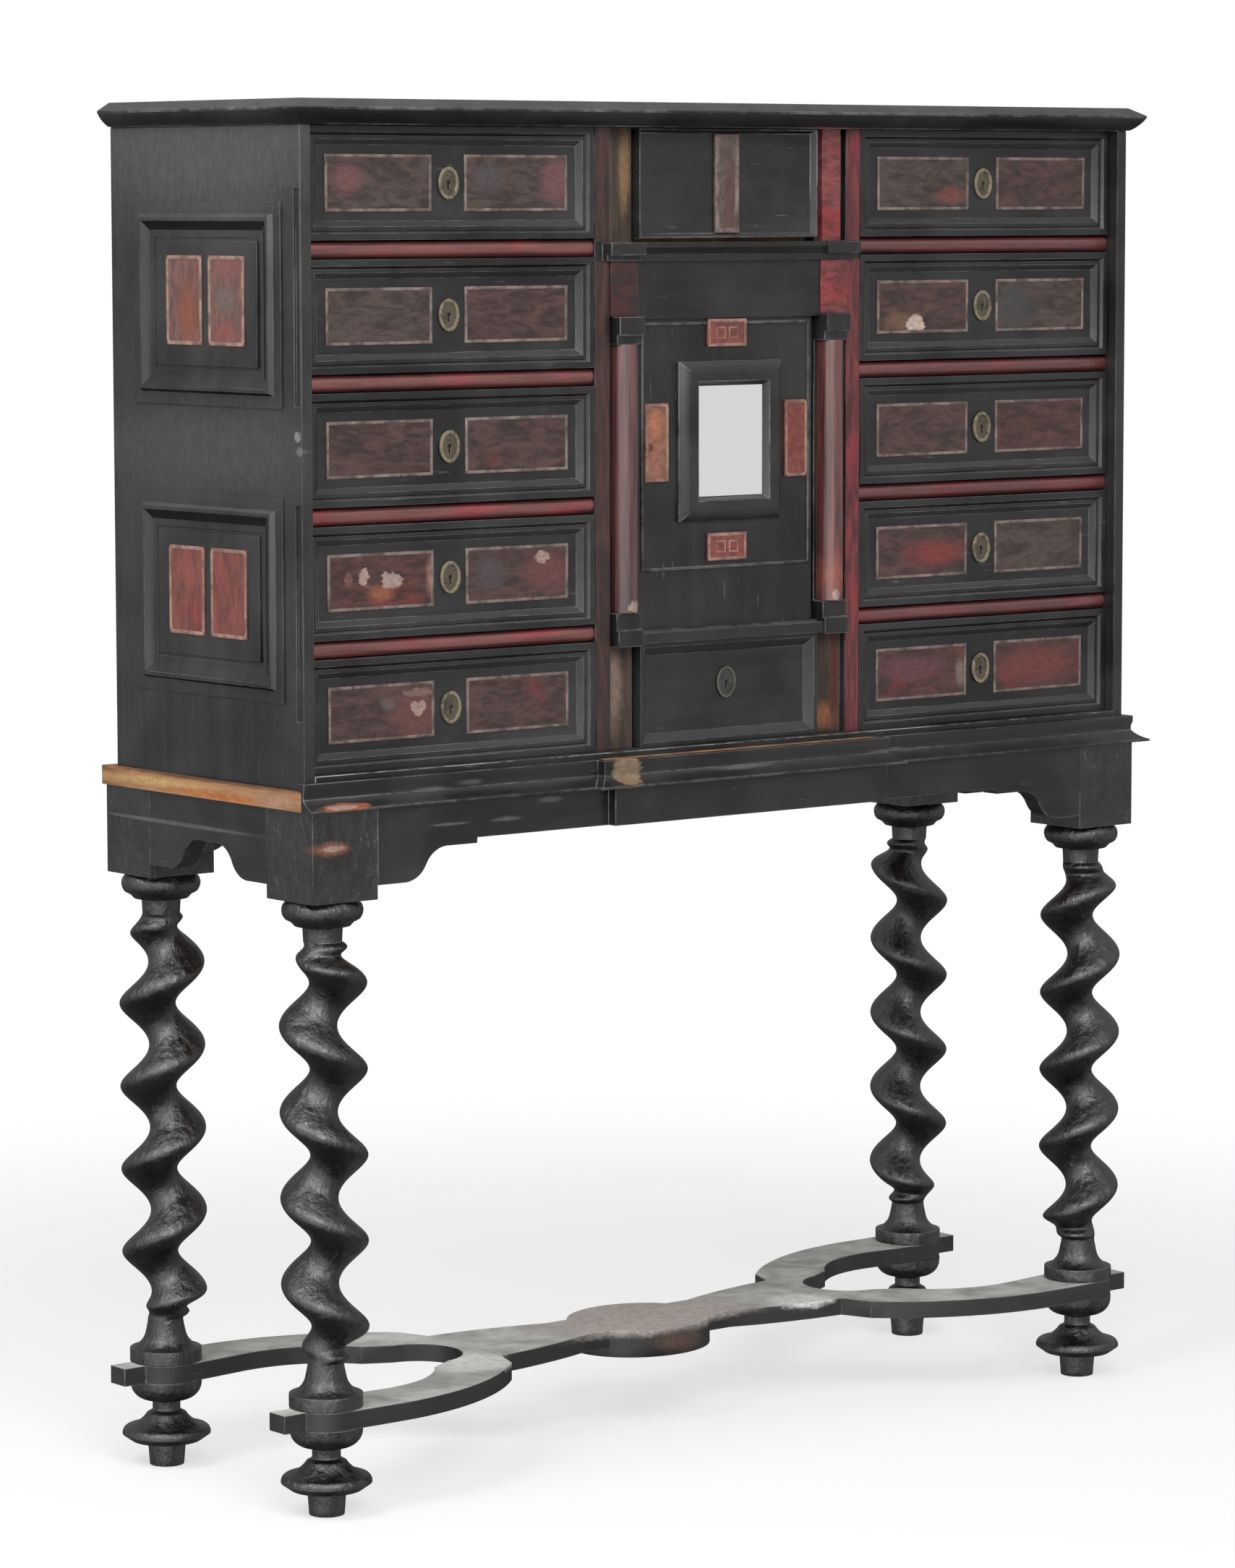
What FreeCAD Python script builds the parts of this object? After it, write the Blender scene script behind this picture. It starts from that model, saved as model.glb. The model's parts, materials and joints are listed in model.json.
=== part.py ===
"""Ebonised cabinet of drawers on a twist-turned stand.

Own frame: X to the right, Y to the back, Z up, in millimetres.
The origin is on the floor, under the centre of the cabinet's outer box.
"""
import FreeCAD, Part
import math
import os
import re

import Sketcher

V = FreeCAD.Vector
ROWS = 5                      # drawers in each outer bay
LINES_PER_TURN = 8            # sections of a leg's twist in one turn
TWIST_DEGREE = 3              # of the curves that run up a leg's twist

# Driving dimensions

STAND_SIZES = {
    "leg_inset": 40.3,            # leg's axis in from the side of the case
    "back_ledge": 19.6,           # blocks stand out behind the case
    "block_side": 84,             # square block at the head of each leg
    "block_tall": 97,
    "foot_tall": 97,              # floor to underside of the stretcher
    "foot_radius": 48.8,          # widest disc of the foot
    "stretcher_thick": 20,
    "turning_tall": 543,          # stretcher top to underside of the block
    "cap_radius": 39.6,           # cup that stands on the stretcher
    "cap_tall": 48,
    "ring_radius": 42,            # ring under the block
    "ring_tall": 45,
    "twist_radius": 30.8,         # radius of the twisted stem itself
    "twist_swing": 16,            # how far its centre runs off the leg's axis
    "twist_pitch": 92,
    "twist_taper": 34,            # height in which the twist fades at each end
    "bulge_front": 562,           # heights at which a stem swings in towards the middle
    "bulge_back_left": 570,
    "bulge_back_right": 482,
    "dowel_radius": 12,           # leg's dowel through the stretcher into the foot
    "dowel_slack": 0.2,
    "dowel_reach": 24,            # how far the dowel goes into the foot
    "arm_radius": 39,             # rounded end of each stretcher arm, under a leg
    "nub_half": 14,               # half width of the square nub past each leg
    "nub_reach": 64.1,            # end of the nub out from the leg's axis
    "boss_half_long": 86,         # oval boss at the middle of the stretcher
    "boss_half_deep": 76,
    "boss_drop": 11,
    "apron_thick": 24,
    "apron_step": 15,             # step up from the block to the apron's edge
    "apron_flat": 33,
    "ogee_long": 62,
    "ogee_rise": 35,
    "apron_mid_half": 14,         # half of the flat between the curves of a side apron
    "apron_shelf_long": 37,
    "apron_shelf_rise": 6,
    "break_side": 7,              # middle that stands forward, past the piers
    "break_reach": 12,
    "board_thick": 21,            # board on top of the stand
    "board_over": 7.7,            # past the case on the side without a moulding
    "board_lap": 4,               # past the case behind the moulding
    "beak_reach": 23.8,           # moulding's lowest edge, out from the case
    "beak_tall": 2.5,
    "neck_reach": 8,
    "neck_low": 13,
    "neck_high": 18,
    "lip_reach": 9.6,
    "lip_low": 23.5,
    "lip_tall": 9,                # lip above the board
    "case_setback": 16.2,         # case face behind the face of the blocks
}

CASE_SIZES = {
    "case_wide": 1180.6,
    "case_deep": 350.2,
    "side_thick": 14,
    "bottom_thick": 15,
    "top_thick": 27,
    "back_thick": 8,
    "drawer_clear": 120,          # height of each of the five openings
    "rail_tall": 19,
    "rail_deep": 22,
    "dust_thick": 10,
    "facade_setback": 16.5,       # rail fronts behind the case's front edges
    "pier_in": 131,               # half width of the middle bay
    "pier_wide": 59,
    "partition_thick": 14,
    "cornice_reach": 17,
    "cornice_low": 26,            # foot of the cornice below the top
    "cornice_edge_low": 11,
    "cornice_edge_high": 9,
    "cornice_top_reach": 1.5,
    "groove_setback": 3,          # groove in the left side, behind its front edge
    "groove_wide": 9,
    "groove_deep": 3,
    "groove_longer": 10,          # groove longer than the frame beside it
    "groove_drop": 17,            # lower groove's foot below the lower frame's
    "groove_lift": 3,             # upper groove's foot above the upper frame's
    "side_panel_forward": 6.5,    # side frames in front of the middle of the case
    "side_frame_wide": 38,
    "side_frame_proud": 7,
    "side_flat_wide": 13,         # low outer flat of a side frame
    "side_flat_proud": 2,
    "side_wall_wide": 3,          # steep step up to the crest
    "side_crest_wide": 4,
    "side_frame_margin": 39.6,    # case deeper than the frames, at each end
    "side_frame_low": 89,         # lower frame above the foot of the case
    "side_frame_between": 93,     # from the lower frame up to the upper one
    "side_frame_high": 79,        # upper frame below the case's top board
    "side_field_gap": 3.5,        # between a frame and the field inside it
    "side_field_thick": 2.5,
    "side_shell_margin": 22,      # field past the plates, front and back
    "side_shell_gap": 12,         # between the two plates of a field
    "side_shell_margin_high": 18.5,
    "side_shell_rise": 3.5,       # plates above the middle of the field
    "shell_thick": 1,
}

DRAWER_SIZES = {
    "drawer_gap_side": 1.15,
    "drawer_gap_high": 0.5,
    "runner_gap": 0.3,
    "front_thick": 12,
    "panel_setback": 22,          # drawer panel behind the case's front edges
    "border_wide": 20,
    "border_proud": 8,
    "border_flat": 7,
    "border_quirk": 3,            # hollow line between the flat and the inner bead
    "border_bead": 4,
    "box_back_gap": 8.2,          # drawer box in front of the back board
    "box_wall": 9,
    "box_floor": 7,
    "box_headroom": 12,           # drawer box sides below the top of the opening
    "box_inset": 3,               # drawer box narrower than its front, each side
    "plate_margin": 15,           # border's inner edge to the plates, at each end
    "plate_margin_high": 13,      # the same above and below them
    "plate_gap": 50,              # between a drawer's two plates
    "lock_half_wide": 13.5,
    "lock_half_tall": 17.5,
    "lock_thick": 1.6,
    "keyhole_radius": 2.4,
    "keyhole_slot": 2.2,
    "keyhole_drop": 7,
    "attic_low_gap": 4,           # attic drawer's front above the middle cornice
    "middle_gap_side": 3,         # attic and plinth drawers' fronts within the bay
    "attic_strip_half": 17.5,
    "attic_strip_gap": 0.3,       # from the border to the strip's ends
    "attic_strip_thick": 3,
    "attic_border": 5,
    "plinth_border": 14,
    "plinth_lock_rise": 8,        # lock plate above the middle of the plinth drawer
}

CENTRE_SIZES = {
    "pier_setback": 15,
    "pier_thick": 23,
    "ground_drop": 9.4,           # bare ground behind the front of the pier's strip
    "strip_wide": 20,             # flat shell strip beside each pilaster
    "pilaster_wide": 35,
    "pedestal_tall": 113,         # place of the lost pedestal, above the bottom board
    "base_tall": 37,
    "base_proud": 11,
    "column_radius": 14,
    "attic_block_inset": 4,       # attic pilaster block from the edge of the bay
    "attic_block_wide": 27,
    "attic_clear": 124,           # height of the opening for the attic drawer
    "capital_tall": 30,
    "capital_proud": 14,
    "block_red_tall": 60,
    "block_red_proud": 3,
    "entablature_tall": 20,
    "entablature_wide": 48,
    "entablature_proud": 16,
    "strip_proud": 1.2,
    "frieze_tall": 63,
    "frieze_setback": 14,
    "shelf_low_thick": 14,
    "plinth_clear": 115,          # height of the opening for the plinth drawer
    "ledge_proud": 9,
    "ledge_tall": 12,
    "door_low_gap": 0.3,
    "door_setback": 18,
    "door_thick": 16,
    "door_left_gap": 3,
    "door_right_gap": 9,
    "pivot_inset": 6,             # pivot from the door's right edge
    "pivot_radius": 3,
    "pivot_slack": 0.05,
    "pivot_long": 8,
    "mirror_across": 3,           # mirror's centre to the right of the door's
    "mirror_clear_side": 10,      # its moulding from the side plaques
    "mirror_clear_low": 116.5,    # its moulding above the door's foot
    "mirror_clear_high": 46.9,    # its moulding below the door's top
    "mirror_thick": 5,
    "mirror_gap": 0.2,
    "bolection_wide": 27,
    "bolection_edge": 4,          # height of its outer edge
    "bolection_proud": 12,
    "line_wide": 5,
    "line_proud": 2.5,
    "line_inset": 3,
    "line_low": 63,
    "line_gap": 0.5,              # between the line and the plaque that breaks it
    "plaque_wide": 56,
    "plaque_tall": 31,
    "plaque_edge": 0.7,           # upper plaque below the top of the door
    "plaque_low_high": 72,
    "plaque_side_wide": 33,
    "plaque_side_tall": 86,
    "plaque_side_edge": 8.5,      # from the side of the door
    "plaque_proud": 3,
}

# Sizes that follow from the driving ones

DERIVED = {
    "leg_half_wide": "case_wide / 2 - leg_inset",
    "leg_span_deep": "case_deep + case_setback + back_ledge - block_side",
    "overall_deep": "break_reach + beak_reach - case_setback + block_side / 2"
                    " + leg_span_deep + foot_radius",
    "case_front": "beak_reach + break_reach - overall_deep / 2",
    "case_back": "case_front + case_deep",
    "case_half": "case_wide / 2",
    "block_front": "case_front - case_setback",
    "leg_front": "block_front + block_side / 2",
    "leg_back": "leg_front + leg_span_deep",
    "block_back": "leg_back + block_side / 2",
    "stretcher_top": "foot_tall + stretcher_thick",
    "stretcher_mid": "(leg_front + leg_back) / 2",
    "leg_half_deep": "leg_span_deep / 2",
    "nub_end": "leg_half_wide + nub_reach",
    "apron_half_deep": "leg_half_deep - block_side / 2",
    "ogee_side": "apron_half_deep - apron_flat - apron_mid_half",
    "block_low": "stretcher_top + turning_tall",
    "frame_top": "block_low + block_tall",
    "block_inner": "leg_half_wide - block_side / 2",
    "block_outer": "leg_half_wide + block_side / 2",
    "case_low": "frame_top + board_thick",
    "bay_floor": "case_low + bottom_thick",
    "row_pitch": "drawer_clear + rail_tall",
    "bay_top": f"bay_floor + {ROWS} * row_pitch - rail_tall",
    "case_top_high": "bay_top + top_thick",
    "case_inner": "case_half - side_thick",
    "pier_out": "pier_in + pier_wide",
    "break_half": "pier_out + break_side",
    "bay_mid": "(pier_out + case_inner) / 2",
    "bay_wide": "case_inner - pier_out",
    "back_inner": "case_back - back_thick",
    "side_frame_deep": "case_deep - 2 * side_frame_margin",
    "side_frame_tall": "(bay_top - case_low - side_frame_low - side_frame_between"
                       " - side_frame_high) / 2",
    "side_edge": "side_frame_wide + side_field_gap",
    "side_shell_wide": "side_frame_deep / 2 - side_edge - side_shell_margin"
                       " - side_shell_gap / 2",
    "side_shell_tall": "side_frame_tall - 2 * side_edge - 2 * side_shell_margin_high",
    "facade": "case_front + facade_setback",
    "dust_front": "facade + rail_deep",
    "panel": "case_front + panel_setback",
    "drawer_back": "panel + front_thick",
    "box_deep": "back_inner - drawer_back - box_back_gap",
    "drawer_wide": "bay_wide - 2 * drawer_gap_side",
    "drawer_tall": "drawer_clear - 2 * drawer_gap_high",
    "plate_wide": "drawer_wide / 2 - border_wide - plate_margin - plate_gap / 2",
    "plate_tall": "drawer_tall - 2 * border_wide - 2 * plate_margin_high",
    "pier_front": "case_front + pier_setback",
    "pier_back": "pier_front + pier_thick",
    "ground": "pier_front + ground_drop",
    "block_red_wide": "pier_wide - strip_wide",
    "cornice_mid_high": "bay_top - attic_clear",
    "cornice_mid_low": "cornice_mid_high - entablature_tall",
    "capital_low": "cornice_mid_low - block_red_tall - capital_tall",
    "middle_half": "pier_in - middle_gap_side",
    "attic_low": "cornice_mid_high + attic_low_gap",
    "plinth_top": "bay_floor + plinth_clear",
    "door_low": "plinth_top + shelf_low_thick + door_low_gap",
    "frieze_low": "cornice_mid_low - frieze_tall",
    "door_high": "frieze_low - door_low_gap",
    "door_front": "case_front + door_setback",
    "door_back": "door_front + door_thick",
    "door_left": "door_left_gap - pier_in",
    "door_right": "pier_in - door_right_gap",
    "door_half": "(door_right - door_left) / 2",
    "mirror_half_wide": "door_half - plaque_side_edge - plaque_side_wide"
                        " - mirror_clear_side - bolection_wide",
    "mirror_half_tall": "(door_high - door_low - mirror_clear_low - mirror_clear_high) / 2"
                        " - bolection_wide",
    "pivot_across": "door_right - pivot_inset",
    "pivot_back": "door_front + door_thick / 2",
}

# Outline shares, as (across, along) of the sizes named beside each table

FOOT_SHARES = (               # of foot_radius and foot_tall
    (0.39, 0.0), (0.43, 0.26), (0.49, 0.285), (0.79, 0.285), (1.0, 0.36, 0.99, 0.40),
    (0.93, 0.44, 0.66, 0.49), (0.44, 0.60), (0.315, 0.635), (0.315, 0.735),
    (0.45, 0.76, 0.70, 0.82), (0.80, 0.92), (0.81, 1.0),
)
CAP_SHARES = (                # of cap_radius and cap_tall
    (1.0, 0.0), (1.0, 0.31, 0.70, 0.44), (0.56, 0.66), (0.50, 0.90), (0.49, 1.0),
)
RING_SHARES = (               # of ring_radius and ring_tall
    (0.49, 0.0), (0.51, 0.34), (0.71, 0.38), (0.81, 0.48), (0.94, 0.54, 1.0, 0.62),
    (1.0, 0.88), (0.90, 1.0),
)
ARM_SHARES = (                # of leg_half_wide and leg_half_deep, from the middle
    (0.0, 0.26), (0.19, 0.26, 0.318, 0.384), (0.455, 0.45),
    (0.48, 0.69, 0.655, 1.11), (0.87, 1.265),
)
GAP_SHARES = (                # the same, along the inner edge back to the middle
    (0.855, 0.80, 0.80, 0.805), (0.756, 0.78, 0.69, 0.68), (0.624, 0.45), (0.567, 0.34),
)
GAP_TIP_SHARE = 0.484
OGEE_SHARES = (0.29, 0.11)    # of ogee_long and ogee_rise: where its first half bows
NECK_BOW_SHARES = (0.55, 0.62)
SIDE_COVE_SHARES = (0.25, 0.45)       # of a side frame's crest height and cove width
BOLECTION_BOW_SHARES = (0.80, 0.30)   # of its rise and of the width of its rise
CORNICE_BOW_SHARES = (0.62, 0.30)

doc = FreeCAD.newDocument("cabinet_on_stand")
sheet = doc.addObject("Spreadsheet::Sheet", "sizes")
pieces = []


def fill_sheet():
    """Write the driving numbers, then the derived formulas, each with its alias."""
    row = 1
    for group in (STAND_SIZES, CASE_SIZES, DRAWER_SIZES, CENTRE_SIZES):
        for alias, number in group.items():
            sheet.set(f"A{row}", alias)
            sheet.set(f"B{row}", str(number))
            sheet.setAlias(f"B{row}", alias)
            row += 1
    for alias, text in DERIVED.items():
        sheet.set(f"A{row}", alias)
        sheet.set(f"B{row}", f"={text}")
        sheet.setAlias(f"B{row}", alias)
        row += 1
    doc.recompute()


def value(text):
    """The present value of an expression in the sheet's aliases."""
    return float(sheet.evalExpression(text))


def bind(item, name, text):
    """Tie a property of an object to an expression in the sheet's aliases."""
    linked = re.sub(r"[a-z]\w*", lambda word: linked_name(word.group()), text)
    item.setExpression(name, linked)


def linked_name(word):
    """A word of an expression, with the sheet's name before each alias."""
    known = (STAND_SIZES, CASE_SIZES, DRAWER_SIZES, CENTRE_SIZES, DERIVED)
    return f"sizes.{word}" if any(word in group for group in known) else word


def keep(item, label):
    """Name an object as one piece of the cabinet."""
    item.Label = label
    pieces.append(item)
    return item


def place(item, across="0", back="0", up="0"):
    """Bind an object's position."""
    for axis, text in zip("xyz", (across, back, up)):
        bind(item, f"Placement.Base.{axis}", text)
    return item


def mirrored(span, side):
    """A left-right span of the right-hand half, turned over for the left one."""
    low, high = span
    return (low, high) if side > 0 else (f"-({high})", f"-({low})")


def box(across, back, up, side=1):
    """A board between pairs of expressions, for the right half or the left one."""
    board = doc.addObject("Part::Box", "board")
    spans = (mirrored(across, side), back, up)
    for size, (low, high) in zip(("Length", "Width", "Height"), spans):
        bind(board, size, f"({high}) - ({low})")
    return place(board, *(low for low, high in spans))


def rod(radius, tall, across, back, up):
    """An upright round rod."""
    pin = doc.addObject("Part::Cylinder", "rod")
    bind(pin, "Radius", radius)
    bind(pin, "Height", tall)
    return place(pin, across, back, up)


def cut(base, tool):
    """One solid less another."""
    item = doc.addObject("Part::Cut", "cut")
    item.Base = base
    item.Tool = tool
    return item


def fuse(*shapes):
    """Solids grown into one."""
    item = doc.addObject("Part::MultiFuse", "fuse")
    item.Shapes = list(shapes)
    item.Refine = True
    return item


def group(*shapes):
    """Separate solids that one node holds."""
    item = doc.addObject("Part::Compound", "group")
    item.Links = list(shapes)
    return item


def new_body():
    """An empty body."""
    return doc.addObject("PartDesign::Body", "body")


def drawn(body, role, corners, offset="0", closed=True):
    """A sketch whose corners are bound to the sheet.

    A corner is (u, v), or (u, v, through_u, through_v) where the edge
    that leaves it is an arc through the second pair.
    """
    item = body.newObject("Sketcher::SketchObject", "outline")
    base = next(one for one in body.Origin.OriginFeatures if one.Role == role)
    item.AttachmentSupport = (base, [""])
    item.MapMode = "FlatFace"
    bind(item, "AttachmentOffset.Base.z", offset)
    spots = [V(value(corner[0]), value(corner[1]), 0) for corner in corners]
    edges = list(zip(range(len(corners)), list(range(1, len(corners))) + [0]))
    if not closed:
        edges = edges[:-1]
    bows = {}
    for start, end in edges:
        if len(corners[start]) == 4:
            middle = V(value(corners[start][2]), value(corners[start][3]), 0)
            item.addGeometry(Part.Arc(spots[start], middle, spots[end]), False)
            bows[start] = middle
        else:
            item.addGeometry(Part.LineSegment(spots[start], spots[end]), False)
    for start, end in edges:
        if start > 0 or closed:
            before = (start - 1) % len(corners)
            join_ends(item, before, start, spots[start])
        fix_point(item, start, nearest_end(item, start, spots[start]), corners[start])
    if not closed:
        last, end = edges[-1]
        fix_point(item, last, nearest_end(item, last, spots[end]), corners[end])
    for edge, middle in bows.items():
        point = item.addGeometry(Part.Point(middle), True)
        item.addConstraint(Sketcher.Constraint("PointOnObject", point, 1, edge))
        fix_point(item, point, 1, corners[edge][2:])
    return item


def nearest_end(item, edge, spot):
    """Which end of a sketch edge lies at a spot: 1 for its start, 2 for its end."""
    return min((1, 2), key=lambda end: (item.getPoint(edge, end) - spot).Length)


def join_ends(item, before, after, spot):
    """Make two sketch edges meet at a spot."""
    first = nearest_end(item, before, spot)
    second = nearest_end(item, after, spot)
    item.addConstraint(Sketcher.Constraint("Coincident", before, first, after, second))


def fix_point(item, edge, end, corner):
    """Bind a sketch point's two distances from the sketch's origin."""
    for kind, text in zip(("DistanceX", "DistanceY"), corner[:2]):
        rule = Sketcher.Constraint(kind, -1, 1, edge, end, value(text))
        index = item.addConstraint(rule)
        bind(item, f"Constraints[{index}]", text)


def padded(body, role, corners, length, offset="0", reverse=False):
    """A sketch made solid along its normal, or against it."""
    outline = drawn(body, role, corners, offset)
    pad = body.newObject("PartDesign::Pad", "pad")
    pad.Profile = outline
    bind(pad, "Length", length)
    pad.Reversed = reverse
    return pad


def turned(shares, radius, tall, start="0"):
    """A turning about its upright axis, from shares of its radius and height."""
    body = new_body()
    corners = [("0", start)]
    for share in shares:
        corner = [f"{share[0]} * {radius}", f"{start} + {share[1]} * {tall}"]
        if len(share) == 4:
            corner += [f"{share[2]} * {radius}", f"{start} + {share[3]} * {tall}"]
        corners.append(tuple(corner))
    corners.append(("0", f"{start} + {tall}"))
    profile = drawn(body, "XZ_Plane", corners)
    spin = body.newObject("PartDesign::Revolution", "turning")
    spin.Profile = profile
    spin.ReferenceAxis = (profile, ["V_Axis"])
    spin.Angle = 360
    return body


def run_moulding(body, section, section_role, offset, run, run_role, closed=False):
    """A moulding swept along its run, with mitred corners."""
    path = drawn(body, run_role, run, closed=closed)
    profile = drawn(body, section_role, section, offset)
    moulding = body.newObject("PartDesign::AdditivePipe", "moulding")
    moulding.Profile = profile
    moulding.Spine = (path, [f"Edge{index + 1}" for index in range(path.GeometryCount)])
    moulding.Transition = "Right corner"
    return moulding


def frame_around(body, half_wide, low, high, section):
    """A mitred frame round an upright rectangle; its section runs out, then inwards."""
    run = [("0", low), (half_wide, low), (half_wide, high)]
    run += [(f"-({half_wide})", high), (f"-({half_wide})", low)]
    corners = [outward(corner, "0", low, -1) for corner in section]
    return run_moulding(body, corners, "YZ_Plane", "0", run, "XZ_Plane", closed=True)


def twist(hand, bulge, across, back):
    """The single-start twist of one leg, between its cap and its ring."""
    names = ("twist_radius", "twist_swing", "twist_pitch", "twist_taper")
    stem, swing, pitch, taper = (value(name) for name in names)
    low = value("stretcher_top + cap_tall")
    high = value("block_low - ring_tall")
    thin_low = value(f"{CAP_SHARES[-1][0]} * cap_radius")
    thin_high = value(f"{RING_SHARES[0][0]} * ring_radius")
    count = math.ceil((high - low) / pitch * LINES_PER_TURN)
    wires = []
    for step in range(count + 1):
        height = low + (high - low) * step / count
        near = min((height - low) / taper, (high - height) / taper, 1)
        full = near * near * (3 - 2 * near)
        thin = thin_low if height - low < high - height else thin_high
        radius = thin + (stem - thin) * full
        angle = 2 * math.pi * hand * (height - value(bulge)) / pitch
        if across > 0:
            angle = math.pi + angle
        centre = V(math.cos(angle), math.sin(angle), 0) * swing * full
        circle = Part.Circle(V(centre.x, centre.y, height), V(0, 0, 1), radius)
        wires.append(Part.Wire(circle.toShape()))
    item = doc.addObject("Part::Feature", "twist")
    item.Shape = Part.makeLoft(wires, True, False, False, TWIST_DEGREE)
    return place(item, f"{across} * leg_half_wide", back)


def build_legs():
    """Four legs: block, ring, twist, cup and dowel, each leg one turned post."""
    corners = (
        ("leg_front_left", -1, "leg_front", -1, "bulge_front"),
        ("leg_front_right", 1, "leg_front", 1, "bulge_front"),
        ("leg_back_left", -1, "leg_back", 1, "bulge_back_left"),
        ("leg_back_right", 1, "leg_back", -1, "bulge_back_right"),
    )
    for label, side, back, hand, bulge in corners:
        centre = f"{side} * leg_half_wide"
        half = "block_side / 2"
        block = box((f"{centre} - {half}", f"{centre} + {half}"),
                    (f"{back} - {half}", f"{back} + {half}"), ("block_low", "frame_top"))
        ring = turned(RING_SHARES, "ring_radius", "ring_tall", "block_low - ring_tall")
        cap = turned(CAP_SHARES, "cap_radius", "cap_tall", "stretcher_top")
        for turning in (ring, cap):
            place(turning, centre, back)
        dowel_low = "foot_tall - dowel_reach"
        dowel = rod("dowel_radius", f"stretcher_top - ({dowel_low})", centre, back, dowel_low)
        keep(fuse(block, ring, twist(hand, bulge, side, back), cap, dowel), label)


def dowel_hole(side, back, low, high):
    """The hole for a leg's dowel."""
    return rod("dowel_radius + dowel_slack", f"({high}) - ({low})",
               f"{side} * leg_half_wide", back, low)


def build_feet():
    """Four turned feet, each bored for its leg's dowel."""
    feet = []
    for side in (-1, 1):
        for back in ("leg_front", "leg_back"):
            foot = turned(FOOT_SHARES, "foot_radius", "foot_tall")
            place(foot, f"{side} * leg_half_wide", back)
            hole = dowel_hole(side, back, "foot_tall - dowel_reach - dowel_slack", "foot_tall")
            feet.append(cut(foot, hole))
    keep(group(*feet), "feet")


def arm_outline():
    """The stretcher's outline from the middle of its back edge round to the right."""
    reach = "sqrt(arm_radius ^ 2 - nub_half ^ 2)"
    slant = "arm_radius / sqrt(2)"
    points = []
    for share in ARM_SHARES:
        sizes = ("leg_half_wide", "leg_half_deep") * 2
        points.append(tuple(f"{part} * {size}" for part, size in zip(share, sizes)))
    points += [
        ("leg_half_wide", "leg_half_deep + arm_radius",
         f"leg_half_wide + {slant}", f"leg_half_deep + {slant}"),
        (f"leg_half_wide + {reach}", "leg_half_deep + nub_half"),
        ("nub_end", "leg_half_deep + nub_half"),
        ("nub_end", "leg_half_deep - nub_half"),
        (f"leg_half_wide + {reach}", "leg_half_deep - nub_half",
         f"leg_half_wide + {slant}", f"leg_half_deep - {slant}"),
        ("leg_half_wide", "leg_half_deep - arm_radius"),
    ]
    for share in GAP_SHARES:
        sizes = ("leg_half_wide", "leg_half_deep") * 2
        points.append(tuple(f"{part} * {size}" for part, size in zip(share, sizes)))
    return points


def turned_over(points, flip_across, flip_deep):
    """A quarter outline mirrored, in the order that keeps the loop going."""
    def signed(point, start):
        across, deep = point[start:start + 2]
        return (f"-({across})" if flip_across else across,
                f"-({deep})" if flip_deep else deep)

    plain = [signed(point, 0) for point in points]
    bows = [signed(point, 2) if len(point) == 4 else () for point in points]
    if flip_across != flip_deep:
        plain.reverse()
        bows = bows[-2::-1] + [()]
    return [spot + bow for spot, bow in zip(plain, bows)]


def build_stretcher():
    """The flat shaped stretcher, with its oval boss and the four dowel holes."""
    quarter = arm_outline()
    last = len(quarter) - 1
    tip = f"{GAP_TIP_SHARE} * leg_half_wide"
    back_right = turned_over(quarter, False, False)
    front_right = turned_over(quarter, False, True)
    front_left = turned_over(quarter, True, True)
    back_left = turned_over(quarter, True, False)
    back_right[last] = back_right[last][:2] + (tip, "0")
    front_left[last] = front_left[last][:2] + (f"-({tip})", "0")
    outline = back_right + front_right[:-1] + front_left + back_left[:-1]
    outline = outline[1:]
    body = new_body()
    padded(body, "XY_Plane", outline, "stretcher_thick", "foot_tall")
    place(body, "0", "stretcher_mid")
    oval = doc.addObject("Part::Ellipse", "oval")
    bind(oval, "MajorRadius", "boss_half_long")
    bind(oval, "MinorRadius", "boss_half_deep")
    place(oval, "0", "stretcher_mid", "foot_tall - boss_drop")
    boss = doc.addObject("Part::Extrusion", "boss")
    boss.Base = oval
    boss.DirMode = "Custom"
    boss.Dir = V(0, 0, 1)
    boss.Solid = True
    bind(boss, "LengthFwd", "stretcher_thick + boss_drop")
    board = fuse(body, boss)
    holes = [dowel_hole(side, back, "foot_tall", "stretcher_top")
             for side in (-1, 1) for back in ("leg_front", "leg_back")]
    keep(cut(board, group(*holes)), "stretcher")


def apron_edge(half_long, ogee, shelf):
    """The shaped lower edge of an apron, with curves of a given length."""
    low = "block_low + apron_step"
    high = f"{low} + ogee_rise"
    bow_across, bow_up = OGEE_SHARES
    start = f"{half_long} - apron_flat"
    half = [
        (half_long, low),
        (start, low, f"{start} - {bow_across} * {ogee}", f"{low} + {bow_up} * ogee_rise"),
        (f"{start} - {ogee} / 2", f"{low} + ogee_rise / 2",
         f"{start} - (1 - {bow_across}) * {ogee}", f"{low} + (1 - {bow_up}) * ogee_rise"),
        (f"{start} - {ogee}", high),
    ]
    if shelf:
        inner = f"{start} - {ogee} - apron_shelf_long"
        half += [(inner, high), (inner, f"{high} + apron_shelf_rise")]
    return half + turned_over(half, True, False)


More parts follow.
